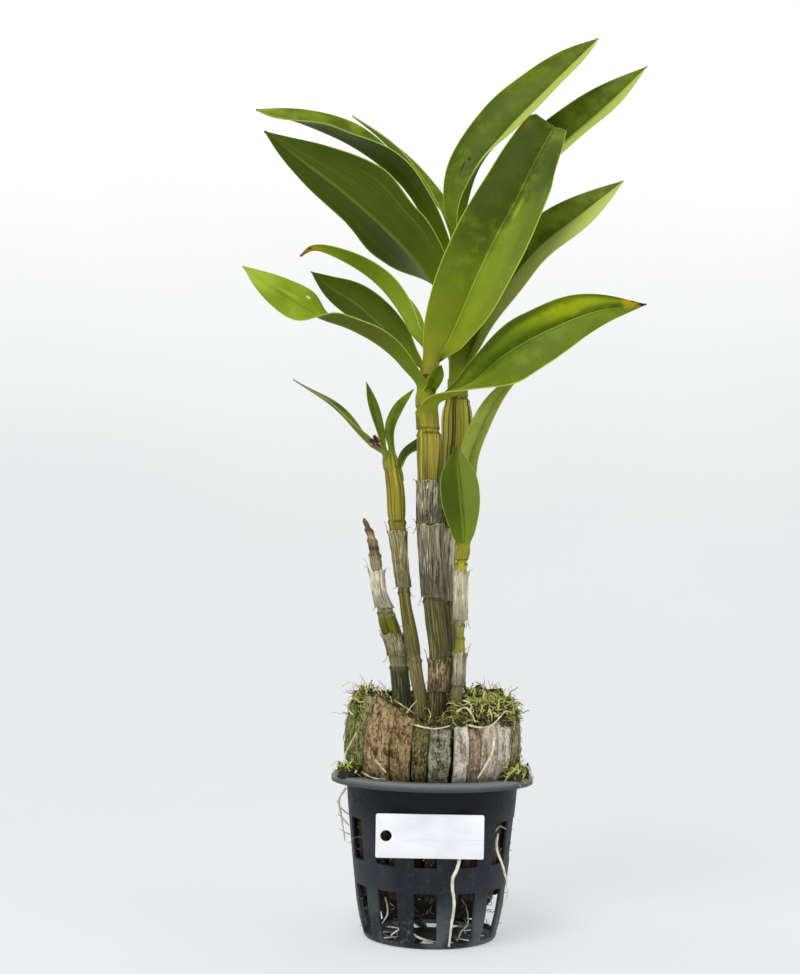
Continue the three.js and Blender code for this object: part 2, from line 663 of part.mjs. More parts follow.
    midrib: [[13, -16, 182], [12.5, -18, 192], [11, -20, 206], [9.5, -20, 221], [9, -17, 232]],
    facing: [[0, 1, 0.3], [0.1, 1, 0.1], [0.1, 0.9, -0.4]],
    fold: [45, 30, 25], widest: 0.55, tipWidth: 0.22,
  },
  {
    name: 'leaf_left_outer', cane: 'left', width: 9, finish: LEAF_GREEN, stations: 7,
    midrib: [[-25.2, -7, 227], [-36, -9, 237], [-50, -11, 251], [-70, -12, 264]],
    facing: [[0.5, 0.3, 0.8], [0.4, -0.3, 0.8], [0.4, -0.2, 0.8]], fold: [45, 30, 15],
    widest: 0.45,
  },
  {
    name: 'leaf_left_upright', cane: 'left', width: 6.5, finish: LEAF_GREEN, stations: 7,
    midrib: [[-25.6, -3, 228], [-29.5, -1, 244], [-35, 0, 265]],
    facing: [[0.8, -0.5, 0.2], [0.5, -0.8, 0.2]], fold: [40, 20], widest: 0.5,
  },
  {
    name: 'leaf_left_inner', cane: 'left', width: 8, finish: LEAF_LIGHT, stations: 7,
    midrib: [[-21, -2, 229], [-22.5, 2, 242], [-19, 5, 253], [-12, 7, 263]],
    facing: [[-0.6, -0.8, 0], [-0.4, -0.9, 0.4]], fold: [45, 20], widest: 0.5,
  },
  {
    name: 'leaf_left_low', cane: 'left', width: 9, finish: LEAF_DARK, stations: 7,
    midrib: [[-18.5, -2.6, 221], [-15, 0, 229], [-8, 3, 235], [0, 4, 242]],
    facing: [[-0.6, -0.6, 0.4], [-0.3, -0.9, 0.4]], fold: [45, 20], widest: 0.5,
  },
];

// Half-width along the blade as a share of its widest: a narrow neck, then an outline
// that swells to the widest place and tapers to the tip.
function outline({ widest, neck = 0.34, tipWidth = 0.03, fullness = 1.25 }, t) {
  if (t < widest) return neck + (1 - neck) * Math.sin((Math.PI / 2) * (t / widest));
  const taper = Math.cos((Math.PI / 2) * ((t - widest) / (1 - widest)) ** fullness);
  return Math.max(taper, tipWidth);
}

function bladeGeometry(leaf) {
  const curve = new THREE.CatmullRomCurve3(leaf.midrib.map(vector));
  const { lean = 0, stations = BLADE_STATIONS } = leaf;
  const upper = [];
  const lower = [];
  for (let station = 0; station <= stations; station += 1) {
    const t = station / stations;
    const spine = curve.getPointAt(t);
    const along = curve.getTangentAt(t);
    const face = vector([0, 1, 2].map((axis) => eased(leaf.facing.map((f) => f[axis]), t)));
    face.addScaledVector(along, -face.dot(along)).normalize();
    const across = new THREE.Vector3().crossVectors(along, face);
    const half = (leaf.width / 2) * outline(leaf, t);
    const fold = radians(eased(leaf.fold, t));
    const keel = lerp(BLADE_KEEL, BLADE_EDGE, t);
    const above = [];
    const below = [];
    for (const place of [-1, -0.5, 0, 0.5, 1]) {
      const side = Math.sign(place);
      const reach = Math.abs(place) * half * (1 + side * lean);
      const rise = fold + radians(6) * (0.5 - Math.abs(place));
      const point = spine.clone()
        .addScaledVector(across, side * reach * Math.cos(rise))
        .addScaledVector(face, reach * Math.sin(rise));
      const outwards = face.clone().multiplyScalar(side === 0 ? 1 / Math.cos(fold) : Math.cos(fold))
        .addScaledVector(across, -side * Math.sin(fold));
      const thick = side === 0 ? keel : BLADE_EDGE;
      above.push(point);
      below.push(point.clone().addScaledVector(outwards, -thick));
    }
    upper.push(above);
    lower.push(below);
  }
  return sheet(upper, lower);
}

// Above its clasping base the blade stands clear of the cane and of the next leaf's
// base, and inside that base the cane has its own room.
function leafGeometry(leaf) {
  const cane = CANES[leaf.cane];
  const blade = solid(bladeGeometry(leaf));
  if (!leaf.sheath) {
    return body(blade.subtract(caneRoom(cane, leaf.clear ?? GAP + NODE_RIDGE)));
  }
  const [low, high] = leaf.sheath;
  const clear = 2 * GAP + NODE_RIDGE + SHEATH_WALL;
  const top = cane.rows.at(-1)[0];
  const above = high + GAP < top - GAP ? blade.subtract(caneRoom(cane, clear, high + GAP)) : blade;
  const clasped = above.add(solid(sheathGeometry(cane, low, high)));
  return body(clasped.subtract(caneRoom(cane, GAP)));
}

for (const leaf of LEAVES) {
  add(leaf.name, leafGeometry(leaf), leaf.finish);
}

// ---------------------------------------------------------------- dry flower

const FLOWER_HEART = new THREE.Vector3(-29.5, -12.5, 234);
const FLOWER_AXIS = new THREE.Vector3(-0.5, -0.8, 0.2).normalize();
const FLOWER_PETALS = 4;

// A withered flower at the left cane's top: a round heart on a short stalk, with
// shrunken petals that curl forwards.
function flowerGeometry() {
  const { x, y, z } = FLOWER_HEART;
  const stalk = strand([[x + 4.5, y + 4, z - 8], [x + 3, y + 1.5, z - 4], [x, y, z]], 1, 5, 3);
  const heart = new THREE.IcosahedronGeometry(2, 0).translate(x, y, z);
  let flower = solid(stalk).add(solid(heart));
  const across = new THREE.Vector3(0, 0, 1).cross(FLOWER_AXIS).normalize();
  const upwards = FLOWER_AXIS.clone().cross(across);
  for (let petal = 0; petal < FLOWER_PETALS; petal += 1) {
    const turn = (2 * Math.PI * petal) / FLOWER_PETALS + 0.4;
    const spread = across.clone().multiplyScalar(Math.cos(turn))
      .addScaledVector(upwards, Math.sin(turn));
    const at = (out, forward) => FLOWER_HEART.clone()
      .addScaledVector(spread, out).addScaledVector(FLOWER_AXIS, forward).toArray();
    const blade = bladeGeometry({
      midrib: [at(1, 0.2), at(3.2, 1), at(3.8, 4)], width: 3.4, stations: 3,
      facing: [FLOWER_AXIS.toArray(), spread.clone().negate().toArray()],
      fold: [15, 35], widest: 0.5, neck: 0.5,
    });
    flower = flower.add(solid(blade));
  }
  return body(flower);
}

add('dry_flower', flowerGeometry(), FLOWER_DRY);

// ---------------------------------------------------------------- aerial roots

const ROOTS = [
  ['root_below_tag', [[13, -35.4, 46], [12.2, -37.2, 42.2], [11, -39.6, 38], [9, -40, 33],
    [10, -38.6, 22], [9, -37.6, 13], [8, -36, 3]], 0.75],
  ['root_right_slot', [[30.3, -22, 51], [29.5, -28.5, 46], [33, -28.6, 36],
    [35, -26.4, 26], [33, -26, 19]], 0.75],
  ['root_under_rim', [[-41, -8.4, 69.5], [-44, -8, 64], [-43, -6, 56], [-41, -4.6, 44]], 0.7],
  ['root_over_husk', [[27.5, -33.2, 97], [26.6, -34.2, 90], [23, -35.8, 83],
    [20, -36.6, 78.3]], 0.7],
];

for (const [name, points, radius] of ROOTS) {
  add(name, strand(points, radius, 5, 10), ROOT_WHITE);
}

export default model;
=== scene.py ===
"""Dendrobium orchid in its slatted net pot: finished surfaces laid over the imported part.

Metres, +Z up, origin at the centre of the pot's flat foot. Sizes in the tables below are
in millimetres, as a grower or a potter would give them, and are turned into metres when a
mesh is made.
"""

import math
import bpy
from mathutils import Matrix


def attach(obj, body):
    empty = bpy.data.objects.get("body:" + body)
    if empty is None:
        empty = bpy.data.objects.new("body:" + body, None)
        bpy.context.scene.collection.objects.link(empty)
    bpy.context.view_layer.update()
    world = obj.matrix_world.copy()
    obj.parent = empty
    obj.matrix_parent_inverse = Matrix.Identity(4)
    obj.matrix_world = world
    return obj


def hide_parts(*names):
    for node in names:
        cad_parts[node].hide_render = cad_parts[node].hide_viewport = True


bl_info = {
    "name": "Dendrobium Orchid in a Net Pot",
    "version": (1, 0, 0),
    "blender": (4, 5, 0),
    "location": "View3D > Sidebar > Orchid",
    "description": "Makes a potted dendrobium orchid: pot, tag, husk, moss, canes and leaves",
    "category": "Add Mesh",
}

from functools import cached_property

import bmesh
import bpy
import numpy as np
from bpy.props import FloatProperty, FloatVectorProperty, IntProperty, PointerProperty
from mathutils import Matrix, Vector, noise

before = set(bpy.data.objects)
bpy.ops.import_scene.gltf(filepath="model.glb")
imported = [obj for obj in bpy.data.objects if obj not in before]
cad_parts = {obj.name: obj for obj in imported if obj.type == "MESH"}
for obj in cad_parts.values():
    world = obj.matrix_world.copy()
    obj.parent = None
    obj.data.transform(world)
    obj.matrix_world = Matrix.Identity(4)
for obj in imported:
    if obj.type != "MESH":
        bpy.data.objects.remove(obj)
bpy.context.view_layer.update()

MM = 0.001
ROOT = "root"
TURN = 2 * math.pi


# -------- numbers and curves

def smoothstep(low, high, value):
    u = np.clip((value - low) / (high - low), 0.0, 1.0)
    return u * u * (3.0 - 2.0 * u)


def unit(vectors):
    vectors = np.asarray(vectors, float)
    return vectors / np.maximum(np.linalg.norm(vectors, axis=-1, keepdims=True), 1e-12)


def eased(keys, t):
    """Value of evenly spaced keys at t = 0..1, eased from key to key."""
    keys = np.asarray(keys, float)
    if len(keys) == 1:
        return np.full(np.shape(t), keys[0])
    place = np.clip(t, 0, 1) * (len(keys) - 1)
    index = np.minimum(place.astype(int), len(keys) - 2)
    u = smoothstep(0, 1, place - index)
    if keys.ndim > 1:
        u = u[..., None]
    return keys[index] * (1 - u) + keys[index + 1] * u


def smooth_row(rows, z, column):
    """Value at height z of a table of rows sorted by height, as one smooth curve."""
    rows = np.asarray(rows, float)
    heights, values = rows[:, 0], rows[:, column]
    slopes = np.empty(len(rows))
    slopes[1:-1] = (values[2:] - values[:-2]) / (heights[2:] - heights[:-2])
    slopes[0] = (values[1] - values[0]) / (heights[1] - heights[0])
    slopes[-1] = (values[-1] - values[-2]) / (heights[-1] - heights[-2])
    i = np.clip(np.searchsorted(heights, z) - 1, 0, len(rows) - 2)
    span = heights[i + 1] - heights[i]
    u = (z - heights[i]) / span
    return ((2 * u**3 - 3 * u**2 + 1) * values[i] + (u**3 - 2 * u**2 + u) * span * slopes[i]
            + (3 * u**2 - 2 * u**3) * values[i + 1] + (u**3 - u**2) * span * slopes[i + 1])


class Path:
    """Smooth curve through points, read by its share of the length."""

    def __init__(self, points, samples=60):
        p = np.asarray(points, float)
        p = np.vstack([2 * p[0] - p[1], p, 2 * p[-1] - p[-2]])
        pieces = []
        for i in range(1, len(p) - 2):
            p0, p1, p2, p3 = p[i - 1:i + 3]
            d0, d1, d2 = (max(np.linalg.norm(b - a), 1e-6) ** 0.5
                          for a, b in ((p0, p1), (p1, p2), (p2, p3)))
            m1 = ((p1 - p0) / d0 - (p2 - p0) / (d0 + d1) + (p2 - p1) / d1) * d1
            m2 = ((p2 - p1) / d1 - (p3 - p1) / (d1 + d2) + (p3 - p2) / d2) * d1
            u = np.linspace(0, 1, samples, endpoint=False)[:, None]
            pieces.append(p1 + m1 * u + (-3 * p1 + 3 * p2 - 2 * m1 - m2) * u**2
                          + (2 * p1 - 2 * p2 + m1 + m2) * u**3)
        self.points = np.vstack([*pieces, p[-2]])
        steps = np.linalg.norm(np.diff(self.points, axis=0), axis=1)
        self.reach = np.concatenate([[0], np.cumsum(steps)])
        self.length = self.reach[-1]

    def at(self, t):
        along = t * self.length
        return np.stack([np.interp(along, self.reach, self.points[:, k]) for k in range(3)], -1)

    def tangent(self, t):
        return unit(self.at(np.minimum(t + 0.004, 1)) - self.at(np.maximum(t - 0.004, 0)))


def ripple(x, y, z, scale, seed=0.0):
    """Soft noise between about -1 and 1 over arrays of the same shape."""
    x, y, z = np.broadcast_arrays(x, y, z)
    flat = [noise.noise(Vector((a / scale + seed, b / scale - seed, c / scale + 3 * seed)))
            for a, b, c in zip(x.ravel(), y.ravel(), z.ravel())]
    return np.array(flat).reshape(x.shape)


def around(reach, angle, z, x=0.0, y=0.0):
    """Points at a reach and an angle round the upright line through x and y."""
    points = x + reach * np.cos(angle), y + reach * np.sin(angle), z
    return np.stack(np.broadcast_arrays(*points), -1)


def outward(angle):
    """Level direction at an angle."""
    return np.array([math.cos(angle), math.sin(angle), 0])


def full_turn(sides):
    """Angles of a closed ring as one row, the first place repeated at its end."""
    return np.linspace(0, TURN, sides + 1)[None, :]


def closed(rings):
    """The rings with their last column made equal to the first."""
    rings[:, -1] = rings[:, 0]
    return rings


def letters(name, count):
    """A whole number below count that stays the same for a name."""
    return sum(map(ord, name)) % count


# -------- meshes

def linked(name, data):
    """A new object at the origin."""
    made = bpy.data.objects.new(name, data)
    bpy.context.scene.collection.objects.link(made)
    return made


class Shell:
    """Points, faces and per-point marks of one mesh, gathered in millimetres."""

    def __init__(self):
        self.points, self.uvs, self.marks, self.faces = [], [], [], []
        self.count = 0

    def grid(self, points, u, v, mark=0.0, flip=False):
        """Adds a grid of points and its quads. Returns the numbers of the points."""
        points = np.asarray(points, float)
        rows, columns = points.shape[:2]
        index = np.arange(rows * columns).reshape(rows, columns) + self.count
        self.points.append(points.reshape(-1, 3))
        u, v, mark = (np.broadcast_to(a, (rows, columns)).ravel() for a in (u, v, mark))
        self.uvs.append(np.stack([u, v], -1))
        self.marks.append(mark)
        self.count += rows * columns
        quads = np.stack([index[:-1, :-1], index[:-1, 1:], index[1:, 1:], index[1:, :-1]], -1)
        quads = quads.reshape(-1, 4)
        self.faces.extend((quads[:, ::-1] if flip else quads).tolist())
        return index

    def cap(self, ring):
        """One face over a ring whose last point repeats the first."""
        self.faces.append(ring[:-1].tolist())

    def bridge(self, one, other):
        """Quads between two equal rows of points."""
        self.faces.extend(np.stack([one[:-1], one[1:], other[1:], other[:-1]], -1).tolist())

    def slab(self, top, under, u, v):
        """Closed sheet between two grids, marked 1 on top and 0 below."""
        a = self.grid(top, u, v, 1.0)
        b = self.grid(under, u, v, flip=True)
        for one, other in ((b[:, 0], a[:, 0]), (a[:, -1], b[:, -1]), (a[0], b[0]), (b[-1], a[-1])):
            self.bridge(one, other)

    def tube(self, outer, inner, u, v, mark=1.0):
        """Closed pipe wall between two grids whose last column repeats the first."""
        a = self.grid(outer, u, v, mark)
        b = self.grid(inner, u, v, flip=True)
        self.bridge(a[0], b[0])
        self.bridge(b[-1], a[-1])

    def rod(self, rings, u, v, mark=0.0):
        """Closed rod through rings whose last point repeats the first."""
        index = self.grid(rings, u, v, mark)
        self.cap(index[0])
        self.cap(index[-1])

    def piece(self, name, material, sharp=None):
        """The finished object: seams welded, faces outwards, smooth but for sharp corners."""
        mesh = bpy.data.meshes.new(name)
        points = np.vstack(self.points) * MM
        mesh.from_pydata(points.tolist(), [], self.faces)
        uvs, marks = np.vstack(self.uvs), np.concatenate(self.marks)
        corners = np.empty(len(mesh.loops), np.int32)
        mesh.loops.foreach_get("vertex_index", corners)
        layer = mesh.uv_layers.new(name="Surface")
        layer.data.foreach_set("uv", uvs[corners].astype(np.float32).ravel())
        side = mesh.attributes.new("side", "FLOAT", "POINT")
        side.data.foreach_set("value", marks.astype(np.float32))
        shape = bmesh.new()
        shape.from_mesh(mesh)
        bmesh.ops.remove_doubles(shape, verts=shape.verts, dist=1e-6)
        bmesh.ops.dissolve_degenerate(shape, edges=shape.edges, dist=1e-7)
        bmesh.ops.recalc_face_normals(shape, faces=shape.faces)
        shape.to_mesh(mesh)
        shape.free()
        mesh.shade_smooth()
        if sharp:
            mesh.set_sharp_from_angle(angle=math.radians(sharp))
        mesh.materials.append(material)
        return linked(name, mesh)

    def settled(self, name, material, slot_name, *nodes, sharp=None):
        """Makes the piece and settles it on the body."""
        return settle(self.piece(name, material, sharp), slot_name, *nodes)


def settle(made, slot_name, *nodes):
    """The piece rides on the body and stands for its nodes. slot_name is not used."""
    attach(made, ROOT)
    if nodes:
        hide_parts(*nodes)


def baked(made, material):
    """The object's evaluated shape as a plain mesh, with its modifiers gone."""
    graph = bpy.context.evaluated_depsgraph_get()
    graph.update()
    mesh = bpy.data.meshes.new_from_object(made.evaluated_get(graph))
    made.modifiers.clear()
    made.data = mesh
    mesh.name = made.name
    if not mesh.materials:
        mesh.materials.append(material)
    return made


def walled(made, thickness, offset, even, bevel, corner):
    """Gives a sheet its wall and softened edges, in metres, and makes it a plain mesh."""
    wall = made.modifiers.new("wall", "SOLIDIFY")
    wall.thickness = thickness
    wall.offset = offset
    wall.use_even_offset = even
    edge = made.modifiers.new("edges", "BEVEL")
    edge.width = bevel
    edge.segments = 2
    edge.limit_method = "ANGLE"
    edge.angle_limit = math.radians(corner)
    baked(made, made.data.materials[0])
    made.data.shade_smooth()
    made.data.set_sharp_from_angle(angle=math.radians(40))


# -------- node trees

def hue(code):
    """Linear colour of a six-digit screen colour."""
    parts = [int(code[i:i + 2], 16) / 255 for i in (1, 3, 5)]
    return (*(p / 12.92 if p <= 0.04045 else ((p + 0.055) / 1.055) ** 2.4 for p in parts), 1.0)


def between(one, other, share):
    """The colour a share of the way from one to another."""
    return tuple(a + (b - a) * share for a, b in zip(one, other))


def set_stops(ramp, stops):
    while len(ramp.elements) < len(stops):
        ramp.elements.new(0.5)
    for element, (place, code) in zip(ramp.elements, stops):
        element.position = place
        element.color = hue(code)


class Tree:
    """A node tree under construction."""

    def node(self, kind, settings=None, sockets=None, output=0):
        """A new node's output: settings first, then the values or links of its sockets."""
        made = self.tree.nodes.new(kind)
        for key, value in (settings or {}).items():
            if key == "stops":
                set_stops(made.color_ramp, value)
            else:
                setattr(made, key, value)
        for key, value in (sockets or {}).items():
            value = value.socket if isinstance(value, Wire) else value
            if isinstance(value, bpy.types.NodeSocket):
                self.tree.links.new(value, made.inputs[key])
            else:
                made.inputs[key].default_value = value
        return made.outputs[output]


def maths(operation, turned=False):
    """A method that adds one Math node, with its operands turned round where asked."""
    def method(self, other):
        values = (other, self) if turned else (self, other)
        return self.finish.node("ShaderNodeMath", {"operation": operation},
                                dict(enumerate(values)))
    return method


class Wire:
    """One value in a shader tree. Arithmetic on it adds Math nodes."""

    def __init__(self, finish, socket):
        self.finish, self.socket = finish, socket

    __add__ = __radd__ = maths("ADD")
    __mul__ = __rmul__ = maths("MULTIPLY")
    __sub__ = maths("SUBTRACT")
    __rsub__ = maths("SUBTRACT", turned=True)
    __truediv__ = maths("DIVIDE")
    __pow__ = maths("POWER")
    most = maths("MAXIMUM")

    def distance(self, other):
        apart = self - other
        return apart.most(0.0 - apart)

    def ramp(self, low, high):
        """0 below low, 1 above high, eased between. A high below low turns it round."""
        if high < low:
            return 1.0 - self.ramp(high, low)
        return self.finish.node("ShaderNodeMapRange", {"interpolation_type": "SMOOTHSTEP"},
                                {"Value": self, "From Min": low, "From Max": high})


class Finish(Tree):
    """A procedural material under construction, built up in layers of colour."""

    def __init__(self, name):
        self.material = bpy.data.materials.new(name)
        self.material.use_nodes = True
        self.tree = self.material.node_tree
        self.tree.nodes.clear()
        self.colour = None

    def node(self, *values, **named):
        return Wire(self, super().node(*values, **named))

    @cached_property
    def place(self):
        """Object coordinates."""
        return self.node("ShaderNodeTexCoord", output="Object")

    @cached_property
    def height(self):
        """Height above the pot's foot, in metres."""
        return self.node("ShaderNodeSeparateXYZ", None, {0: self.place}, 2)

    @cached_property
    def u(self):
        """The piece's own coordinate across or round it."""
        return self.node("ShaderNodeSeparateXYZ", None,
                         {0: self.node("ShaderNodeUVMap", {"uv_map": "Surface"})})

    @cached_property
    def v(self):
        """The piece's own coordinate along it."""
        return Wire(self, self.u.socket.node.outputs[1])

    @cached_property
    def side(self):
        """The piece's own mark: which face of a sheet, or how far along a strand."""
        return self.node("ShaderNodeAttribute", {"attribute_name": "side"}, output="Fac")

    def mix(self, one, other, share, blend="MIX"):
        one, other = (hue(c) if isinstance(c, str) else c for c in (one, other))
        return self.node("ShaderNodeMix", {"data_type": "RGBA", "blend_type": blend},
                         {0: share, 6: one, 7: other}, 2)

    def lay(self, colour, share, blend="MIX"):
        """Puts a share of a colour over the colour so far."""
        self.colour = self.mix(self.colour, colour, share, blend)

    def bands(self, value, *stops):
        """Starts with the colours along a value, from (place, colour code) pairs."""
        self.colour = self.node("ShaderNodeValToRGB", {"stops": stops}, {0: value})

    def scaled(self, across, up=None):
        """Object coordinates scaled to features per metre across and up."""
        scale = (across, across, across if up is None else up)
        return self.node("ShaderNodeMapping", None, {"Vector": self.place, "Scale": scale})

    def _noise(self, where, detail, rough, bend):
        return self.node("ShaderNodeTexNoise", None,
                         {"Vector": where, "Scale": 1.0, "Detail": detail,
                          "Roughness": rough, "Distortion": bend})

    def cloud(self, across, up=None, detail=3.0, rough=0.5, bend=0.0):
        """Noise through the piece, with features per metre across and up."""
        return self._noise(self.scaled(across, up), detail, rough, bend)

    def streaks(self, across, along, shift=0.0, detail=3.0, rough=0.5, bend=0.0):
        """Noise that follows the surface, with features across it and along it."""
        where = self.node("ShaderNodeCombineXYZ", None,
                          {0: self.u * across + shift, 1: self.v * along, 2: shift})
        return self._noise(where, detail, rough, bend)

    def cells(self, across):
        """Distance from the middles of scattered cells, in features per metre."""
        return self.node("ShaderNodeTexVoronoi", None,
                         {"Vector": self.scaled(across), "Scale": 1.0})

    def bump(self, height, depth, strength=1.0):
        """Relief of the given depth in millimetres."""
        return self.node("ShaderNodeBump", None,
                         {"Height": height, "Distance": depth * MM, "Strength": strength})

    def done(self, rough, normal=None, **constants):
        """Ends the tree in one shader. Constants are set on the shader's own sockets."""
        sockets = {"Base Color": self.colour, "Roughness": rough}
        if normal is not None:
            sockets["Normal"] = normal
        sockets.update({key.replace("_", " "): value for key, value in constants.items()})
        shader = self.node("ShaderNodeBsdfPrincipled", None, sockets)
        output = self.tree.nodes.new("ShaderNodeOutputMaterial")
        self.tree.links.new(shader.socket, output.inputs["Surface"])
        return self.material


class Recipe(Tree):
    """A Geometry Nodes tree under construction, with named inputs."""

    def __init__(self, name, inputs):
        self.tree = bpy.data.node_groups.new(name, "GeometryNodeTree")
        self.tree.is_modifier = True
        sockets = self.tree.interface
        sockets.new_socket("Geometry", in_out="INPUT", socket_type="NodeSocketGeometry")
        sockets.new_socket("Geometry", in_out="OUTPUT", socket_type="NodeSocketGeometry")
        for label, value in inputs.items():
            kind = "NodeSocketInt" if isinstance(value, int) else "NodeSocketFloat"
            sockets.new_socket(label, in_out="INPUT", socket_type=kind).default_value = value
        self.entry = self.tree.nodes.new("NodeGroupInput")

    def given(self, label="Geometry"):
        return self.entry.outputs[label]

    def maths(self, operation, one, other):
        return self.node("ShaderNodeMath", {"operation": operation}, {0: one, 1: other})

    def vector(self, x=0.0, y=0.0, z=0.0):
        return self.node("ShaderNodeCombineXYZ", None, {0: x, 1: y, 2: z})

    def string(self, line, sides, radius):
        """Closed round string along a curve."""
        ring = self.node("GeometryNodeCurvePrimitiveCircle", {"mode": "RADIUS"},
                         {"Resolution": sides, "Radius": 1.0})
        return self.node("GeometryNodeCurveToMesh", None,
                         {"Curve": line, "Profile Curve": ring, "Scale": radius,
                          "Fill Caps": True})

    def end(self, geometry, material):
        real = self.node("GeometryNodeRealizeInstances", None, {0: geometry})
        smooth = self.node("GeometryNodeSetShadeSmooth", None, {"Geometry": real})
        painted = self.node("GeometryNodeSetMaterial", None,
                            {"Geometry": smooth, "Material": material})
        last = self.tree.nodes.new("NodeGroupOutput")
        self.tree.links.new(painted, last.inputs[0])

    def apply(self, made, values, material):
        modifier = made.modifiers.new(self.tree.name, "NODES")
        modifier.node_group = self.tree
        for item in self.tree.interface.items_tree:
            if item.in_out == "INPUT" and item.name in values:
                modifier[item.identifier] = values[item.name]
        return baked(made, material)


def strands(name, lines, material, sides, thickness=1.0):
    """A piece made of round strings. A line is its points and their radii, in millimetres."""
    points, edges, radii, along = [], [], [], []
    for line, radius in lines:
        first = len(points)
        points.extend((np.asarray(line) * MM).tolist())
        edges.extend((first + i, first + i + 1) for i in range(len(line) - 1))
        radii.extend(np.broadcast_to(np.asarray(radius, float) * MM, (len(line),)))
        along.extend(np.linspace(0, 1, len(line)))
    mesh = bpy.data.meshes.new(name)
    mesh.from_pydata(points, edges, [])
    for label, values in (("thickness", radii), ("side", along)):
        layer = mesh.attributes.new(label, "FLOAT", "POINT")
        layer.data.foreach_set("value", np.asarray(values, np.float32))
    recipe = Recipe(f"{name}_strings", {"Sides": 6, "Thickness": 1.0})
    line = recipe.node("GeometryNodeMeshToCurve", None, {0: recipe.given()})
    thick = recipe.node("GeometryNodeInputNamedAttribute", {"data_type": "FLOAT"},
                        {"Name": "thickness"})
    radius = recipe.maths("MULTIPLY", thick, recipe.given("Thickness"))
    recipe.end(recipe.string(line, recipe.given("Sides"), radius), material)
    return recipe.apply(linked(name, mesh), {"Sides": sides, "Thickness": thickness}, material)


def sprig_recipe(name, material):
    """Small tapering blades standing on a bed, each bent and turned its own way."""
    recipe = Recipe(name, {"Density": 1.0e6, "Length": 0.005, "Thickness": 0.0003,
                           "Lean": 0.9, "Seed": 3})
    length, lean, seed = (recipe.given(label) for label in ("Length", "Lean", "Seed"))
    scatter = recipe.node("GeometryNodeDistributePointsOnFaces",
                          {"distribute_method": "RANDOM"},
                          {"Mesh": recipe.given(), "Density": recipe.given("Density"),
                           "Seed": seed})
    sideways = recipe.maths("MULTIPLY", length, 0.62)
    line = recipe.node("GeometryNodeCurveQuadraticBezier", None,
                       {"Resolution": 4, "Start": (0, 0, 0),
                        "Middle": recipe.vector(recipe.maths("MULTIPLY", length, 0.12), z=sideways),
                        "End": recipe.vector(sideways, z=length)})
    share = recipe.node("GeometryNodeSplineParameter")
    taper = recipe.maths("MULTIPLY", recipe.maths("SUBTRACT", 1.15, share),
                         recipe.given("Thickness"))
    marked = recipe.node("GeometryNodeStoreNamedAttribute",
                         {"data_type": "FLOAT", "domain": "POINT"},
                         {"Geometry": line, "Name": "side", "Value": share})
    swing = recipe.node("FunctionNodeRandomValue", {"data_type": "FLOAT_VECTOR"},
                        {"Min": (-1, -1, -3.14), "Max": (1, 1, 3.14), "Seed": seed})
    leaned = recipe.node("ShaderNodeVectorMath", {"operation": "MULTIPLY"},
                         {0: swing, 1: recipe.vector(lean, lean, 1.0)})
    turn = recipe.node("FunctionNodeEulerToRotation", None, {0: leaned})
    rotation = recipe.node("FunctionNodeRotateRotation", {"rotation_space": "LOCAL"},
                           {"Rotation": scatter.node.outputs["Rotation"], "Rotate By": turn})
    size = recipe.node("FunctionNodeRandomValue", {"data_type": "FLOAT"},
                       {2: 0.5, 3: 1.3, "Seed": seed}, 1)
    sprigs = recipe.node("GeometryNodeInstanceOnPoints", None,
                         {"Points": scatter, "Instance": recipe.string(marked, 3, taper),
                          "Rotation": rotation, "Scale": size})
    both = recipe.node("GeometryNodeJoinGeometry")
    for part in (sprigs, recipe.given()):
        recipe.tree.links.new(part, both.node.inputs[0])
    recipe.end(both, material)
    return recipe


# -------- sizes and colours

def length_prop(name, description, default):
    return FloatProperty(name=name, description=description, default=default, min=0.0,
                         unit="LENGTH", subtype="DISTANCE", precision=5)


def colour_prop(name, description, code):
    return FloatVectorProperty(name=name, description=description, subtype="COLOR",
                               size=3, min=0.0, max=1.0, default=hue(code)[:3])


class ORCHID_PG_pot(bpy.types.PropertyGroup):
    wall: length_prop("Wall", "Thickness of the pot's moulded wall", 0.0013)
    rim_radius: length_prop("Rim Radius", "Radius of the rim's outer edge", 0.0482)
    rim_height: length_prop("Rim Height", "Height of the rim's top above the foot", 0.0763)
    slot_width: length_prop("Slot Width", "Width of the slots in the wall", 0.0106)
    plastic: colour_prop("Plastic", "Colour of the pot", "#1b2127")
    tag: colour_prop("Tag", "Colour of the tag", "#f8f8fc")


class ORCHID_PG_plant(bpy.types.PropertyGroup):
    leaf: colour_prop("Leaf", "Colour of a grown leaf's upper face", "#596d05")
    leaf_deep: colour_prop("Deep Leaf", "Colour of the darker parts of a leaf", "#3b4f02")
    leaf_young: colour_prop("Young Leaf", "Colour of the lighter leaves", "#839b1c")
    leaf_thickness: length_prop("Leaf Thickness", "Thickness of a blade's margin", 0.0004)


class ORCHID_PG_fill(bpy.types.PropertyGroup):
    moss_density: FloatProperty(
        name="Moss Density", description="Moss sprigs to a square centimetre of bed",
        default=30.0, min=0.0)
    moss_length: length_prop("Moss Length", "Length of a moss sprig", 0.0026)
    hair_thickness: FloatProperty(
        name="Fibre Thickness", description="Share of the fibres' own thickness",
        default=1.0, min=0.1, subtype="FACTOR")
    seed: IntProperty(name="Seed", description="Start of the random layout", default=7)


def tint(colour):
    return (*colour, 1.0)


# -------- pot and tag

# The pot's outer face as radius and height, from its foot to under its flange.
POT_OUTSIDE = [(29.6, 0), (31.4, 1.2), (32.6, 5), (33.9, 10), (35.2, 17), (37.3, 35.3),
               (40.2, 63.3), (41, 72.8)]
RIM_Z = 76.3
POT_WALL = 1.3
SLOT_COLUMNS = 12
SLOT_START = math.radians(-95)
SLOT_ROWS = [(2.6, 25.7), (37.6, 56.8)]
SLOT_SPANS, BAR_SPANS = 6, 8
# The floor's slots: inner and outer radius, and width as a share of the radius.
FLOOR_SLOT = (12.0, 26.0, 0.31)


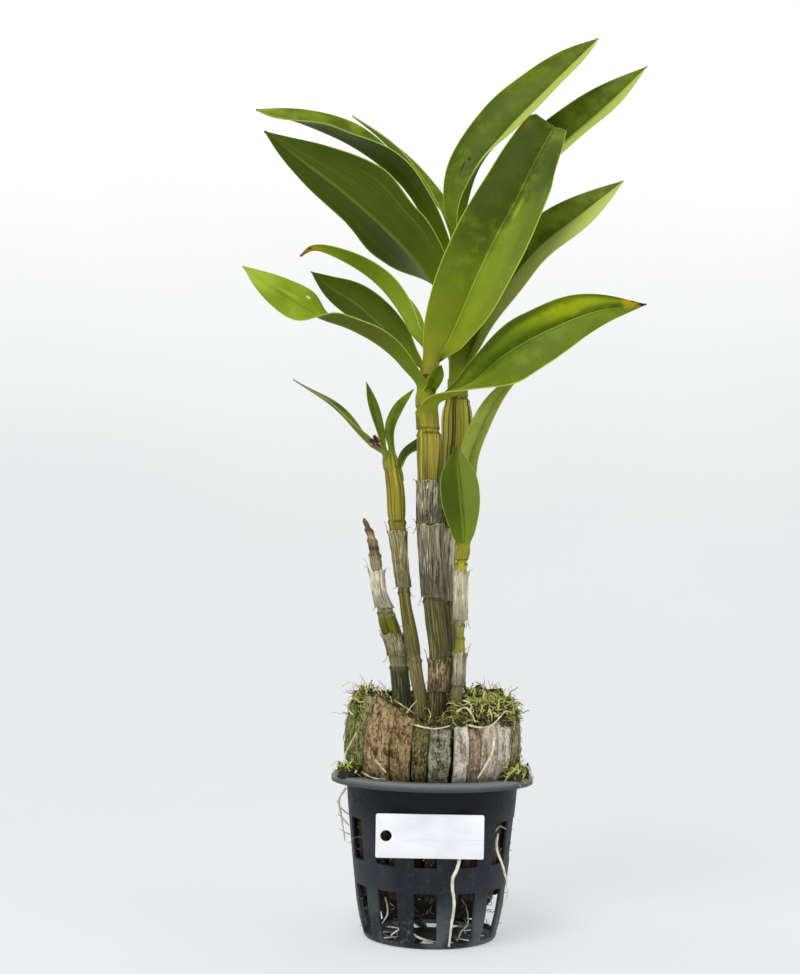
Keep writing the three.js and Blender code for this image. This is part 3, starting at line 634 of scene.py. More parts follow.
def wall_radius(z):
    radii, heights = zip(*POT_OUTSIDE)
    return np.interp(z, heights, radii)


def pot_profile(rim_radius, rim_z, wall):
    """Stations of the pot's outer face: radius, height, and whether a slot opens there."""
    inner, outer, _ = FLOOR_SLOT
    stations = [(4, 0, 0), (9, 0, 0), (inner, 0, 1), (16, 0, 1), (20.5, 0, 1), (outer, 0, 0),
                (27.5, 0, 0), (29.6, 0, 0), (30.7, 0.35, 0), (31.4, 1.2, 0)]
    for z in np.unique([*np.linspace(*SLOT_ROWS[0], 9), *np.linspace(28, 35.3, 3),
                        *np.linspace(*SLOT_ROWS[1], 8), 59.5, 63.3, 68, 71]):
        open_here = any(low - 0.01 <= z < high - 0.01 for low, high in SLOT_ROWS)
        stations.append((float(wall_radius(z)), float(z), open_here))
    under = rim_z - wall
    lip = rim_radius - wall
    stations += [(41.0, under - 0.4, 0), (41.4, under, 0), (44, under, 0),
                 (lip - 0.4, under, 0), (lip, under - 0.4, 0), (lip, rim_z - 3.5, 0)]
    return stations


def pot_finish(plastic):
    f = Finish("pot_plastic_worn")
    haze = f.cloud(55, 30, detail=5)
    flow = f.cloud(180, 22)
    grain = f.cloud(1600, detail=2)
    dust = f.cloud(420, detail=4).ramp(0.52, 0.72)
    top = f.height.ramp(0.0735, 0.0762)
    lip = f.height.ramp(0.0722, 0.0730)
    foot = f.height.ramp(0.022, 0.0)
    rim_shadow = f.height.ramp(0.050, 0.066) * f.height.ramp(0.0725, 0.0715)
    f.colour = plastic
    f.lay("#343b44", haze.ramp(0.4, 0.75) * 0.5)
    f.lay("#101418", flow.ramp(0.45, 0.7) * 0.4)
    f.lay("#7c7f7d", dust * (top * 0.55 + foot * 0.35 + 0.1))
    # Painted shadow: the wall under the flange is darkened where the flange shades it.
    f.lay("#020406", rim_shadow * 0.85)
    f.lay("#6a7075", f.height.ramp(0.03, 0.004) * haze.ramp(0.4, 0.6) * 0.5)
    # Painted highlight: the flange is lightened, and its top more, where light falls on them.
    f.lay("#4d5358", lip * 0.65)
    f.lay("#9a9c9c", top * 0.45)
    rough = 0.42 + haze * 0.18 + dust * 0.2
    return f.done(rough, f.bump(grain * 0.5 + flow * 0.5, 0.12, 0.55), Specular_IOR_Level=0.22)


class ORCHID_OT_pot(bpy.types.Operator):
    """Make the net pot: one lathed wall, floor and flange with open slots"""
    bl_idname = "orchid.pot"
    bl_label = "Net Pot"

    def execute(self, context):
        pot = context.scene.orchid_pot
        stations = pot_profile(pot.rim_radius / MM, pot.rim_height / MM, pot.wall / MM)
        sector = TURN / SLOT_COLUMNS
        rows = []
        for radius, z, _ in stations:
            wide = pot.slot_width / MM
            if z < 1:
                wide = min(FLOOR_SLOT[2] * radius, wide)
            half = math.asin(min(wide / 2 / radius, 0.5 * math.sin(sector)))
            local = [*np.linspace(-half, half, SLOT_SPANS, endpoint=False),
                     *np.linspace(half, sector - half, BAR_SPANS, endpoint=False)]
            angle = np.concatenate([SLOT_START + sector * k + np.array(local)
                                    for k in range(SLOT_COLUMNS)])
            rows.append(around(radius, np.append(angle, angle[0] + TURN), z))
        shell = Shell()
        index = shell.grid(rows, 0.0, 0.0)
        columns = index.shape[1] - 1
        shell.faces = [face for i, face in enumerate(shell.faces)
                       if not stations[i // columns][2]
                       or i % columns % (SLOT_SPANS + BAR_SPANS) >= SLOT_SPANS]
        shell.cap(index[0])
        made = shell.piece("net_pot_finished", pot_finish(tint(pot.plastic)))
        walled(made, pot.wall, 1.0, True, 0.00022, 48)
        settle(made, "pot_plastic", "net_pot")
        return {"FINISHED"}


TAG_SIZE = (49.0, 20.0, 0.8)
TAG_CENTRE = (-1.5, 52.4)
TAG_CORNER = 0.9
# The tag's eye: its centre's distance from the left edge, and its radius.
TAG_EYE = (4.7, 2.6)


def tag_finish(colour):
    f = Finish("tag_plastic_plain")
    scuff = f.cloud(60, 900, detail=4).ramp(0.6, 0.75)
    haze = f.cloud(70)
    f.colour = colour
    f.lay("#d3d5dc", haze.ramp(0.35, 0.75) * 0.35)
    f.lay("#bdbfc4", scuff * 0.25)
    return f.done(0.38 + haze * 0.2, f.bump(f.cloud(900), 0.05, 0.3))


def tag_face():
    """The tag's outline filled round its eye, flat in x and z and centred on the origin."""
    width, height, _ = TAG_SIZE
    inset, eye = TAG_EYE
    corners = []
    for sx, sy, first in ((1, 1, 0), (-1, 1, 90), (-1, -1, 180), (1, -1, 270)):
        for k in range(7):
            a = math.radians(first + 15 * k)
            corners.append((sx * (width / 2 - TAG_CORNER) + TAG_CORNER * math.cos(a),
                            sy * (height / 2 - TAG_CORNER) + TAG_CORNER * math.sin(a)))
    ring = [(-width / 2 + inset + eye * math.cos(a), eye * math.sin(a))
            for a in np.linspace(0, TURN, 40, endpoint=False)]
    shape = bmesh.new()
    loops = []
    for points in (corners, ring):
        verts = [shape.verts.new((x * MM, 0, z * MM)) for x, z in points]
        loops += [shape.edges.new((a, b)) for a, b in zip(verts, verts[1:] + verts[:1])]
    bmesh.ops.triangle_fill(shape, edges=loops, use_beauty=True, use_dissolve=False)
    bmesh.ops.dissolve_limit(shape, angle_limit=0.01, verts=shape.verts, edges=[])
    bmesh.ops.recalc_face_normals(shape, faces=shape.faces)
    mesh = bpy.data.meshes.new("plant_tag_finished")
    shape.to_mesh(mesh)
    shape.free()
    return mesh


class ORCHID_OT_tag(bpy.types.Operator):
    """Make the blank tag: a thin rounded plate with an eye, leaning on the pot"""
    bl_idname = "orchid.tag"
    bl_label = "Tag"

    def execute(self, context):
        _, height, thick = TAG_SIZE
        centre_x, centre_z = TAG_CENTRE
        mesh = tag_face()
        foot, top = centre_z - height / 2, centre_z + height / 2
        lean = math.atan((wall_radius(top) - wall_radius(foot)) / height)
        away = -float(wall_radius(centre_z)) - 0.35
        for vert in mesh.vertices:
            x, z = vert.co.x, vert.co.z
            vert.co = (x + centre_x * MM, away * MM - z * math.sin(lean),
                       centre_z * MM + z * math.cos(lean))
        mesh.materials.append(tag_finish(tint(context.scene.orchid_pot.tag)))
        outwards = 1.0 if mesh.polygons[0].normal.y < 0 else -1.0
        made = linked("plant_tag_finished", mesh)
        walled(made, thick * MM, outwards, False, 0.00014, 50)
        settle(made, "tag_plastic", "plant_tag")
        return {"FINISHED"}


# -------- canes

# Rows are height, x, y and radius up the cane. Joints are the heights of its rings, and
# tones the colour of the skin from foot to top.
CANES = {
    "main": dict(
        rows=[(86, 1, -8, 4.0), (112, 2, -8, 4.3), (135, 2, -9, 4.6), (150, 0, -10, 4.7),
              (169, -2, -10, 4.9), (202, -4, -10, 5.2), (216, -4, -10, 5.3), (226, -4, -10, 5.9),
              (236, -4, -10, 6.0), (243, -5, -10, 5.1), (254, -6, -10, 4.4), (261, -6, -10, 3.2),
              (270, -5, -10, 2.9), (288, -3, -10, 2.3)],
        joints=[158, 193.5, 238, 260],
        tones=[(0.0, "#2f3220"), (0.14, "#4b4a38"), (0.24, "#4f5630"), (0.34, "#565c34"),
               (0.37, "#6c6a4a"), (0.52, "#5a5a3c"), (0.63, "#94903a"), (0.70, "#a39d42"),
               (0.76, "#aea63c"), (0.84, "#ada03a"), (0.88, "#c2a552"), (0.92, "#9aa03a"),
               (1.0, "#7f9a2e")],
        stripe="#54491c", stripes=0.85, ribs=13),
    "rear": dict(
        rows=[(86, 7, 10, 4.0), (111, 8, 10, 4.2), (135, 8, 11, 4.4), (159, 6, 12, 4.5),
              (179, 5, 12, 4.8), (199, 6, 12, 5.2), (219, 8, 12, 6.6), (239, 10, 12, 7.8),
              (252, 10, 13, 7.4), (263, 10, 13, 4.6), (289, 9, 14, 3.8), (320, 8, 15, 3.2),
              (341, 8, 16, 2.6)],
        joints=[156, 202, 258, 280, 302, 315],
        tones=[(0.0, "#3a3a2c"), (0.28, "#6a6553"), (0.44, "#787452"), (0.52, "#8a8447"),
               (0.55, "#b5ac58"), (0.62, "#c6be5e"), (0.66, "#cfc858"), (0.69, "#a0a044"),
               (1.0, "#86a032")],
        stripe="#4d4726", stripes=0.95, ribs=15),
    "left": dict(
        rows=[(86, -5, -4, 3.0), (111, -6, -4, 3.1), (121, -8, -4, 3.2), (140, -11, -5, 3.4),
              (156, -14, -5, 2.8), (164, -15, -5, 2.9), (178, -17, -5, 3.3), (197, -19, -5, 4.2),
              (212, -20, -5, 4.3), (224, -22, -5, 3.6), (231, -23, -5, 2.0)],
        joints=[130, 162, 196, 222],
        tones=[(0.0, "#4c4c34"), (0.16, "#8b8468"), (0.29, "#a19872"), (0.34, "#6a6b3c"),
               (0.5, "#7b7a42"), (0.56, "#a5a07e"), (0.74, "#8f8830"), (0.78, "#a19c30"),
               (0.9, "#9b952e"), (0.96, "#8f9a2e"), (1.0, "#6f8f30")],
        stripe="#64521a", stripes=0.85, ribs=11),
    "old": dict(
        rows=[(86, -13, 3, 4.2), (111, -15, 2, 4.4), (120, -16, 2, 4.5), (135, -18, 0, 4.6),
              (147, -22, -1, 4.8), (154, -24, -1, 3.8), (163, -27, -2, 3.1), (178, -29, -2, 2.9),
              (188, -31, -2, 2.2), (198, -35, -2, 1.1)],
        joints=[126, 152, 172, 180, 187, 192],
        tones=[(0.0, "#262c18"), (0.26, "#3f4a2a"), (0.34, "#4c543a"), (0.37, "#a39c88"),
               (0.46, "#8f8a52"), (0.5, "#6a6c10"), (0.57, "#77781a"), (0.6, "#a8a28f"),
               (0.72, "#5d5243"), (0.76, "#b0a793"), (0.84, "#a2937f"), (0.87, "#54453a"),
               (0.91, "#c0ae92"), (0.95, "#6b5444"), (1.0, "#8a7460")],
        stripe="#3c3a22", stripes=0.55, ribs=12, rib_highlight=0.08),
    "young": dict(
        rows=[(86, 10.4, -12, 2.4), (112, 10.6, -12, 2.5), (121, 11.6, -12.4, 2.6),
              (136, 12, -13, 2.3), (146, 12, -13, 2.0), (152, 12, -13, 2.8), (164, 12, -13, 2.9),
              (175, 12, -13, 2.7), (185, 13, -13, 2.2), (189, 13, -13, 1.4)],
        joints=[141, 147, 176],
        tones=[(0.0, "#4c4636"), (0.3, "#8c8369"), (0.45, "#9aa03c"), (0.55, "#8f9440"),
               (0.62, "#b4ad90"), (0.82, "#c0ba70"), (0.86, "#c3c22a"), (1.0, "#a9b92c")],
        stripe="#8a7f45", stripes=0.5, ribs=9),
}

CANE_SIDES = 44
CANE_STEP = 0.8


def cane_centre(cane, z):
    """Places x and y and radius of a cane at its heights, and above its top those there."""
    rows = CANES[cane]["rows"]
    return [smooth_row(rows, np.minimum(z, rows[-1][0]), column) for column in (1, 2, 3)]


def cane_finish(name, cane):
    f = Finish(f"cane_{name}_skin")
    low, high = cane["rows"][0][0], cane["rows"][-1][0]
    broad = f.streaks(9, 2.2)
    lines = f.streaks(34, 2.6, rough=0.6)
    fine = f.streaks(110, 7, detail=2)
    film = f.streaks(30, 9, 4.0, detail=4, rough=0.7).ramp(0.5, 0.62)
    broken = f.streaks(14, 60).ramp(0.35, 0.6)
    blotch = f.cloud(160, 90, detail=4)
    speck = f.cloud(900, 500, detail=2).ramp(0.66, 0.74)
    ring = None
    for joint in cane["joints"]:
        near = f.v.distance((joint - low) / (high - low) + 0.004) * (high - low)
        one = near.ramp(1.1, 0.35)
        ring = one if ring is None else ring.most(one)
    f.bands(f.v + (blotch - 0.5) * 0.03, *cane["tones"])
    f.lay(cane["stripe"], lines.ramp(0.47, 0.58) * broad.ramp(0.3, 0.52) * cane["stripes"])
    f.lay(f.colour, fine.ramp(0.42, 0.70) * 0.8, "MULTIPLY")
    # Painted highlight: pale streaks between the dark stripes, as light catching the ribs.
    f.lay("#dcd378", lines.ramp(0.43, 0.32) * cane.get("rib_highlight", 0.5))
    f.lay("#a8a284", film * f.v.ramp(0.48, 0.34) * f.v.ramp(0.06, 0.16) * 0.4)
    f.lay("#3b2f1c", speck * 0.55)
    f.lay("#4a3820", ring * broken * 0.85)
    f.lay("#fbf8dc", 1.0, "MULTIPLY")
    relief = lines * 0.6 + fine * 0.25 + broad * 0.6
    return f.done(0.46 + blotch * 0.2, f.bump(relief, 0.35, 0.8), Specular_IOR_Level=0.2)


class ORCHID_OT_canes(bpy.types.Operator):
    """Make the five jointed canes with their ribs and rings"""
    bl_idname = "orchid.canes"
    bl_label = "Canes"

    def execute(self, context):
        angle = full_turn(CANE_SIDES)
        for name, cane in CANES.items():
            low, high = cane["rows"][0][0], cane["rows"][-1][0]
            z = np.append(np.arange(low, high, CANE_STEP), high)[:, None]
            x, y, radius = cane_centre(name, z)
            # Each joint is a raised ring with a groove above it, and the ribs fade near it.
            near = np.full(z.shape, 99.0)
            for joint in cane["joints"]:
                radius = radius + 0.5 * np.exp(-((z - joint) / 0.75) ** 2)
                radius = radius - 0.28 * np.exp(-((z - joint - 1.9) / 0.9) ** 2)
                near = np.minimum(near, abs(z - joint))
            ribs = np.cos(cane["ribs"] * angle + 0.012 * (z - low))
            lump = closed(ripple(np.cos(angle) * 3, np.sin(angle) * 3, z / 3, 2.2, len(name)))
            ring = radius + 0.13 * smoothstep(1.0, 9.0, near) * ribs + 0.16 * lump
            ring = ring * (0.35 + 0.65 * smoothstep(high + 0.1, high - 1.6, z))
            shell = Shell()
            shell.rod(around(ring, angle, z, x, y), angle / TURN,
                      (z - low) / (high - low))
            shell.settled(f"cane_{name}_finished", cane_finish(name, cane),
                          "cane_old" if name == "old" else "cane_green", f"cane_{name}")
        return {"FINISHED"}


# -------- dry sheaths

# Node, cane, lower and upper height, slack, depth of the torn rim, and its look: ground,
# shade, strength of the shade, and what shows through.
SHEATHS = [
    ("sheath_main_foot", "main", 116, 131, 0.2, 2.4, ("#a88b52", "#261d12", 0.95, "#6f5a26")),
    ("sheath_main_middle", "main", 160.5, 195.2, 0.12, 1.0, ("#8b8068", "#2b2318", 0.95, "#55503a")),
    ("sheath_main_upper", "main", 195.4, 216, 0.2, 1.0, ("#a09a84", "#24231b", 0.95, "#5f5c40")),
    ("sheath_rear", "rear", 159, 197, 0.4, 2.8, ("#ccc5b2", "#4a4236", 0.75, "#9a937f")),
    ("sheath_left", "left", 165, 192, 0.15, 1.2, ("#a0976a", "#544e2a", 0.8, "#857d3e")),
    ("sheath_old_upper", "old", 155, 173, 0.4, 1.6, ("#f6f4ee", "#5a574f", 0.55, "#bdb9a8")),
    ("sheath_old_lower", "old", 132, 142, 0.2, 2.2, ("#b9b095", "#463829", 0.8, "#8f8253")),
    ("sheath_young_upper", "young", 150, 173, 0.3, 1.6, ("#e4e1d4", "#6d6654", 0.6, "#c2bda4")),
    ("sheath_young_foot", "young", 119, 134, 0.2, 2.2, ("#e0d5be", "#3f3426", 0.85, "#b0a488")),
]
SHEATH_SIDES, SHEATH_ROWS = 72, 44
SHEATH_WALL = 0.28
# Loose threads at each rim.
THREADS = 5


def paper_finish(name, look):
    ground, shade, depth, through = look
    f = Finish(f"{name}_paper")
    seed = letters(name, 17)
    bend = f.streaks(2, 1.5, seed, detail=2)
    pleat = f.streaks(15, 0.9, seed, detail=2, bend=1.6)
    fibre = f.streaks(48, 1.1, seed, rough=0.55, bend=2.6)
    hair = f.streaks(110, 1.6, seed, detail=2, bend=1.8)
    blotch = f.cloud(260, 140, detail=4)
    f.colour = ground
    f.lay(through, bend.ramp(0.42, 0.62) * 0.8)
    f.lay(shade, fibre.ramp(0.485, 0.57) * depth)
    f.lay(shade, pleat.ramp(0.51, 0.58) * depth * 0.85)
    f.lay("#ebe6d8", hair.ramp(0.55, 0.64) * 0.55)
    f.lay("#f6f2e6", fibre.ramp(0.43, 0.35) * 0.75)
    f.lay("#2c2620", blotch.ramp(0.57, 0.66) * 0.6 * depth)
    f.lay(shade, f.v.ramp(0.6, 0.05) * 0.45)
    f.lay("#dcd5c4", f.v.distance(0.5).ramp(0.475, 0.498) * 0.3)
    f.lay("#fbf8e0", 1.0, "MULTIPLY")
    relief = pleat * 1.4 + fibre * 0.8 + hair * 0.3
    return f.done(0.62 + blotch * 0.2, f.bump(relief, 0.4, 0.8), Specular_IOR_Level=0.3)


def loose_threads(shell, rim, angle, rise, seed):
    """Thin torn threads that curl away from a sheath's rim."""
    ring = np.linspace(0, TURN, 6)[None, :, None]
    t = np.linspace(0, 1, 14)
    for thread in range(THREADS):
        column = int((0.31 + 0.618 * thread + 0.37 * seed) % 1 * (len(angle) - 1))
        out = outward(angle[column])
        along = np.array([-out[1], out[0], 0]) * (-1) ** thread
        up = np.array([0, 0, rise * (3.4 + 2.2 * math.sin(2.7 * thread + seed))])
        start = rim[column]
        path = Path([start - 0.15 * out - 0.3 * up, start + 0.5 * out + 0.45 * up,
                     start + 1.5 * out + 0.9 * along + 0.85 * up,
                     start + 1.3 * out + 2.8 * along + 0.7 * up])
        second = unit(np.cross(path.tangent(t), out))[:, None]
        thin = (0.16 * (1 - t) ** 0.5 + 0.04)[:, None, None]
        rings = path.at(t)[:, None] + thin * (np.cos(ring) * out + np.sin(ring) * second)
        shell.rod(rings, ring[..., 0] / 6.3, t[:, None], 0.5)


class ORCHID_OT_sheaths(bpy.types.Operator):
    """Make the dry papery sheaths: pleated pipes with torn rims round the canes"""
    bl_idname = "orchid.sheaths"
    bl_label = "Dry Sheaths"

    def execute(self, context):
        angle = full_turn(SHEATH_SIDES)
        across, ahead = np.cos(angle), np.sin(angle)
        up = np.linspace(0, 1, SHEATH_ROWS)[:, None]
        for node, cane, low, high, slack, tear, look in SHEATHS:
            seed = letters(node, 23)
            rag = ripple(across * 2, ahead * 2, 0, 0.55, seed)
            jag = ripple(across * 9, ahead * 9, 1, 0.8, seed)
            torn = closed(0.85 * tear * (0.8 * rag + 0.6 * jag))
            split = np.exp(-((angle - 2.2 - 0.3 * seed) % TURN / 0.22 - 1) ** 2)
            # Both rims are torn, the upper one more, and it is split at one side.
            z = low + (high - low) * up + torn * up ** 6 + 0.4 * torn * (1 - up) ** 6
            z = z - tear * 0.9 * split * up ** 5
            x, y, radius = cane_centre(cane, z)
            loose = 0.25 + slack * (2 * up - 1) ** 2
            pleats = 0.16 * np.cos(9 * angle + 1.6 * seed + 2.5 * up)
            pleats = pleats + 0.16 * np.cos(17 * angle - 3.1 * up + seed)
            crumple = closed(ripple(across * 4, ahead * 4, z / 4, 1.0, seed))
            flare = 0.3 * smoothstep(0.86, 1.0, up) * (1 + rag)
            reach = radius + loose + 0.32 + pleats * 0.8 + 0.25 * crumple + flare
            outer, inner = (around(r, angle, z, x, y) for r in (reach, reach - SHEATH_WALL))
            shell = Shell()
            shell.tube(outer, inner, angle / TURN, up)
            for row, rise in ((0, -1), (-1, 1)):
                loose_threads(shell, outer[row], angle[0], rise, seed + row)
            shell.settled(f"{node}_finished", paper_finish(node, look), "dry_sheath", node)
        return {"FINISHED"}


# -------- husk ring and root ball

HUSK_FOOT = 22.0
HUSK_PROFILE = [(RIM_Z, 38.6), (83, 41.2), (92, 42.2), (103, 41.2), (118, 38.2)]

# Azimuth from the front (positive to the right) of the strip's two edges, heights of its
# top at them, slant, thickness, tear, and its look: ground, light, shade, algae.
HUSKS = [
    (-78, -62, 112, 116, 15, 3.6, 1.2, ("#6f7433", "#a5ad55", "#2e3315", 0.9)),
    (-60, -49, 114, 113, 16, 2.8, 1.0, ("#8b8a4e", "#b9b77c", "#3a3a1c", 0.8)),
    (-47, -27, 115, 109, 16, 3.4, 0.6, ("#a58558", "#cfae88", "#4a3a1e", 0.3)),
    (-26, -14, 109, 104, 11, 3.6, 0.8, ("#93794a", "#b99c6e", "#40321a", 0.4)),
    (-12.5, -4, 104, 101, 7, 2.8, 0.6, ("#66592f", "#8f8252", "#2a2212", 0.45)),
    (-2.5, 10, 101, 100, 4, 3.6, 0.6, ("#918e76", "#bcbaa4", "#3c3a2c", 0.35)),
    (13.5, 22, 101, 102, 1, 3.2, 0.8, ("#efe0ca", "#fffaf0", "#6d5a4c", 0.05)),
    (23.5, 30, 101, 100, -1, 2.6, 1.2, ("#a08868", "#d2bc9c", "#3b2c1c", 0.15)),
    (31.5, 44, 101, 103, -1, 3.4, 1.0, ("#ccb99c", "#f6ead4", "#54402f", 0.1)),
    (46, 60, 105, 107, -1, 3.8, 1.0, ("#f4e4c4", "#fffaee", "#6d5a44", 0.08)),
    (62, 79, 107, 110, -1, 3.2, 1.2, ("#a08f62", "#c9bb8a", "#4a3f25", 0.5)),
]
BACK_LOOKS = [("#8b8061", "#b5aa88", "#3f3624", 0.4), ("#8f7a52", "#b39c72", "#46371f", 0.3)]
BACK_STRIPS = 6
BACK_START, BACK_STOP = 80, 280
HUSK_ROWS = 64
GREY_HUSKS = (1, 6, 7, 10, 12, 14, 16)


def uneven():
    """Endless even draws between 0 and 1, the same each run."""
    state = 11
    while True:
        state = (state * 1664525 + 1013904223) % 2**32
        yield state / 2**32


def back_husks():
    """Broader strips of uneven height that close the ring."""
    draw = uneven()
    pitch = (BACK_STOP - BACK_START) / BACK_STRIPS
    for strip in range(BACK_STRIPS):
        start = BACK_START + pitch * strip
        one, other = 110 + 7 * next(draw), 110 + 7 * next(draw)
        yield (start, start + pitch - 4, one, other, -1 + 15 * strip / 5, 3 + next(draw),
               1 + 1.5 * next(draw), BACK_LOOKS[strip % 2])


HUSKS += back_husks()


def husk_radius(z):
    """Radius of the strips' outer face: free above the rim, held by the wall below it."""
    free = smooth_row(HUSK_PROFILE, np.maximum(z, RIM_Z), 1)
    held = np.minimum(wall_radius(z) - POT_WALL - 0.7, HUSK_PROFILE[0][1]) - 0.5
    return np.where(z >= RIM_Z, free, held)


def husk_finish(name, look):
    ground, light, shade, algae = look
    f = Finish(name)
    long = f.streaks(7, 1.4)
    fibre = f.streaks(26, 3.2, detail=4, rough=0.6, bend=0.4)
    fine = f.streaks(70, 9, detail=2)
    pore = f.cloud(820, 560, rough=0.7)
    mould = f.cloud(110, 80, detail=4)
    clot = f.cloud(260, 150, detail=5, rough=0.7)
    worn = 0.6 if algae < 0.2 else 1.0
    f.colour = ground
    f.lay(light, long.ramp(0.42, 0.62) * 0.75)
    f.lay(light, fine.ramp(0.55, 0.7) * 0.45)
    f.lay(shade, fibre.ramp(0.50, 0.74) * 0.5)
    f.lay(shade, clot.ramp(0.53, 0.60) * 0.85 * worn)
    f.lay(light, clot.ramp(0.49, 0.42) * 0.85)
    f.lay("#7d8a2c", mould.ramp(0.42, 0.62) * f.height.ramp(0.078, 0.112) * algae)
    f.lay("#2a2012", pore.ramp(0.53, 0.61) * 0.8 * worn)
    f.lay("#d8cdb2", pore.ramp(0.44, 0.36) * 0.5)
    # Painted shade: below the pot's rim, inside the pot, the strips are darkened to near black.
    f.lay("#17120d", f.height.ramp(0.082, 0.070) * 0.9)
    # Painted shade: each strip darkens towards its edges, at the gaps between the strips.
    f.lay("#2a2014", f.u.distance(0.5).ramp(0.42, 0.5) * 0.4)
    f.colour = f.mix("#40331d", f.colour, f.side.ramp(0.3, 0.7))
    relief = fibre * 0.8 + pore * 0.7 + fine * 0.3 + clot
    return f.done(0.9, f.bump(relief, 1.3), Specular_IOR_Level=0.12)


class ORCHID_OT_husk(bpy.types.Operator):
    """Make the husk ring: fibrous strips with worn edges and torn tops"""
    bl_idname = "orchid.husk"
    bl_label = "Husk Ring"

    def execute(self, context):
        up = np.linspace(0, 1, HUSK_ROWS + 1)[:, None]
        for number, (start, stop, one, other, slant, thick, tear, look) in enumerate(HUSKS, 1):
            span = stop - start
            s = np.linspace(0, 1, max(14, int(span * 1.7)) + 1)[None, :]
            rag = ripple(s * span / 4, 0, 0, 0.6, number * 1.7)
            fray = ripple(s * span / 1.4, 0, 0, 0.7, number * 2.3)
            torn = tear * (0.9 * rag + 0.5 * fray)
            z = HUSK_FOOT + (one + (other - one) * s - HUSK_FOOT) * up + torn * up ** 5
            edge = ripple(number, 0, z / 7, 1.0, number) * 0.7
            # The edges wander, the face is crowned, and streaks and lumps roughen it.
            swell = (s - 0.5) * 2
            azimuth = np.radians(start - 0.7 + (span + 1.4) * s - slant * (1 - up) - 90
                                 + 1.1 * edge * swell ** 3)
            crown = np.clip(1 - np.abs(swell) ** 5, 0, 1)
            streak = ripple(s * span / 2.2, 0, z / 26, 0.7, number * 0.9)
            lumps = ripple(s * span / 3, 0, z / 5, 1.0, number * 1.3)
            worn = smoothstep(0.93, 1.0, up) * (0.4 + 0.6 * np.abs(rag))
            outside = husk_radius(z) - 0.75 + 0.75 * crown + 0.38 * streak + 0.3 * lumps - worn
            inside = outside - thick * (0.7 + 0.25 * np.sqrt(crown))
            outside = np.minimum(outside, np.where(z < RIM_Z, husk_radius(z) + 0.35, 99))
            shell = Shell()
            shell.slab(around(outside, azimuth, z), around(inside, azimuth, z), s, up)
            name = f"husk_strip_{number:02d}"
            shell.settled(f"{name}_finished", husk_finish(f"{name}_fibre", look),
                          "husk_grey" if number in GREY_HUSKS else "husk_tan", name, sharp=65)
        return {"FINISHED"}


BALL_LOW, BALL_SHOULDER, BALL_TOP = 18.0, 96.0, 100.5
BALL_SIDES = 120
BARK_CHIPS = 70


def ball_top(x, y):
    """Height of the fill's top over a place."""
    mound = 3.5 + 4.5 * np.sin(np.arctan2(y, x)) * smoothstep(0, 20, np.hypot(x, y))
    return (BALL_TOP + mound + 1.7 * ripple(x, y, 0, 9.0, 4.2)
            + 0.8 * ripple(x, y, 0, 3.2, 1.1))


def ball_finish():
    f = Finish("root_ball_mix")
    lump = f.cloud(150, detail=5, rough=0.6)
    thread = f.cloud(420, 130, detail=4, bend=1.5)
    speck = f.cells(520)
    f.bands(lump, (0.3, "#120d08"), (0.5, "#2c2114"), (0.62, "#4a3a22"), (0.75, "#6a6233"))
    f.lay("#8c7b55", thread.ramp(0.6, 0.7) * 0.55)
    f.lay("#56601d", lump.ramp(0.58, 0.7) * thread.ramp(0.4, 0.6) * 0.6)
    f.lay("#0c0906", speck.ramp(0.5, 0.8) * 0.5)
    # Painted shade: below the pot's rim, inside the pot, the fill is darkened to near black.
    f.lay("#070605", f.height.ramp(0.080, 0.070) * 0.85)
    return f.done(0.92, f.bump(lump * 0.8 + thread * 0.6, 1.6))


def ball_body():
    """Rings of the lumpy fill from its floor up its side and over its top."""
    angle = full_turn(BALL_SIDES)
    z = np.linspace(BALL_LOW, BALL_SHOULDER, 60)[:, None]
    # The side keeps inside the strips and tucks in towards the floor.
    base = husk_radius(np.minimum(z, 92)) - 5.4 - 7 * smoothstep(25, BALL_LOW, z)
    knots = ripple(base * np.cos(angle), base * np.sin(angle), z, 6.0, 2.0)
    grains = ripple(base * np.cos(angle), base * np.sin(angle), z, 2.4, 5.0)
    reach = base - 0.6 + 0.9 * knots + 0.5 * grains
    share = np.linspace(0.97, 0.03, 34)[:, None]
    x, y = share * reach[-1:] * np.cos(angle), share * reach[-1:] * np.sin(angle)
    lift = 0.25 + 0.75 * smoothstep(1.0, 0.9, share)
    cap = np.stack([x, y, BALL_SHOULDER + (ball_top(x, y) - BALL_SHOULDER) * lift], -1)
    share = np.linspace(0.04, 0.9, 8)[:, None]
    floor = around(share * reach[:1], angle, BALL_LOW + 1.4 * (1 - share))
    points = np.concatenate([floor, around(reach, angle, z), cap])
    # Behind, it widens and reaches down towards the pot's floor.
    sag = smoothstep(40, 18, points[..., 2]) * smoothstep(-4, 14, points[..., 1])
    points[..., 2] -= 13.5 * sag
    points[..., :2] *= (1 + 0.28 * sag)[..., None]
    return closed(points), angle / TURN


def add_chip(shell, draw):
    """One chip of bark lying on the fill, turned its own way."""
    a, away = draw.uniform(0, TURN), 8 + 24 * math.sqrt(draw.uniform())
    half = draw.uniform(1.6, 4.4), draw.uniform(1.0, 2.4), draw.uniform(0.6, 1.4)
    x, y = away * math.cos(a), away * math.sin(a)
    centre = np.array([x, y, float(ball_top(x, y)) + 0.3])
    turn = unit(draw.normal(size=3) + (0, 0, 1.6))
    flat = unit(np.cross(turn, draw.normal(size=3)))
    second = np.cross(turn, flat)
    rings = []
    for up, size in ((-1, 0.75), (-0.6, 1.0), (0.6, 1.0), (1, 0.7)):
        loop = []
        for k in range(9):
            b = TURN * (k % 8) / 8
            wobble = 1 + 0.22 * math.sin(3 * b + a * 5)
            loop.append(centre + size * wobble * (
                half[0] * math.cos(b) * flat + half[1] * math.sin(b) * second)
                + up * half[2] * turn)
        rings.append(loop)
    shell.rod(rings, 0.5, 0.5, 0.6)


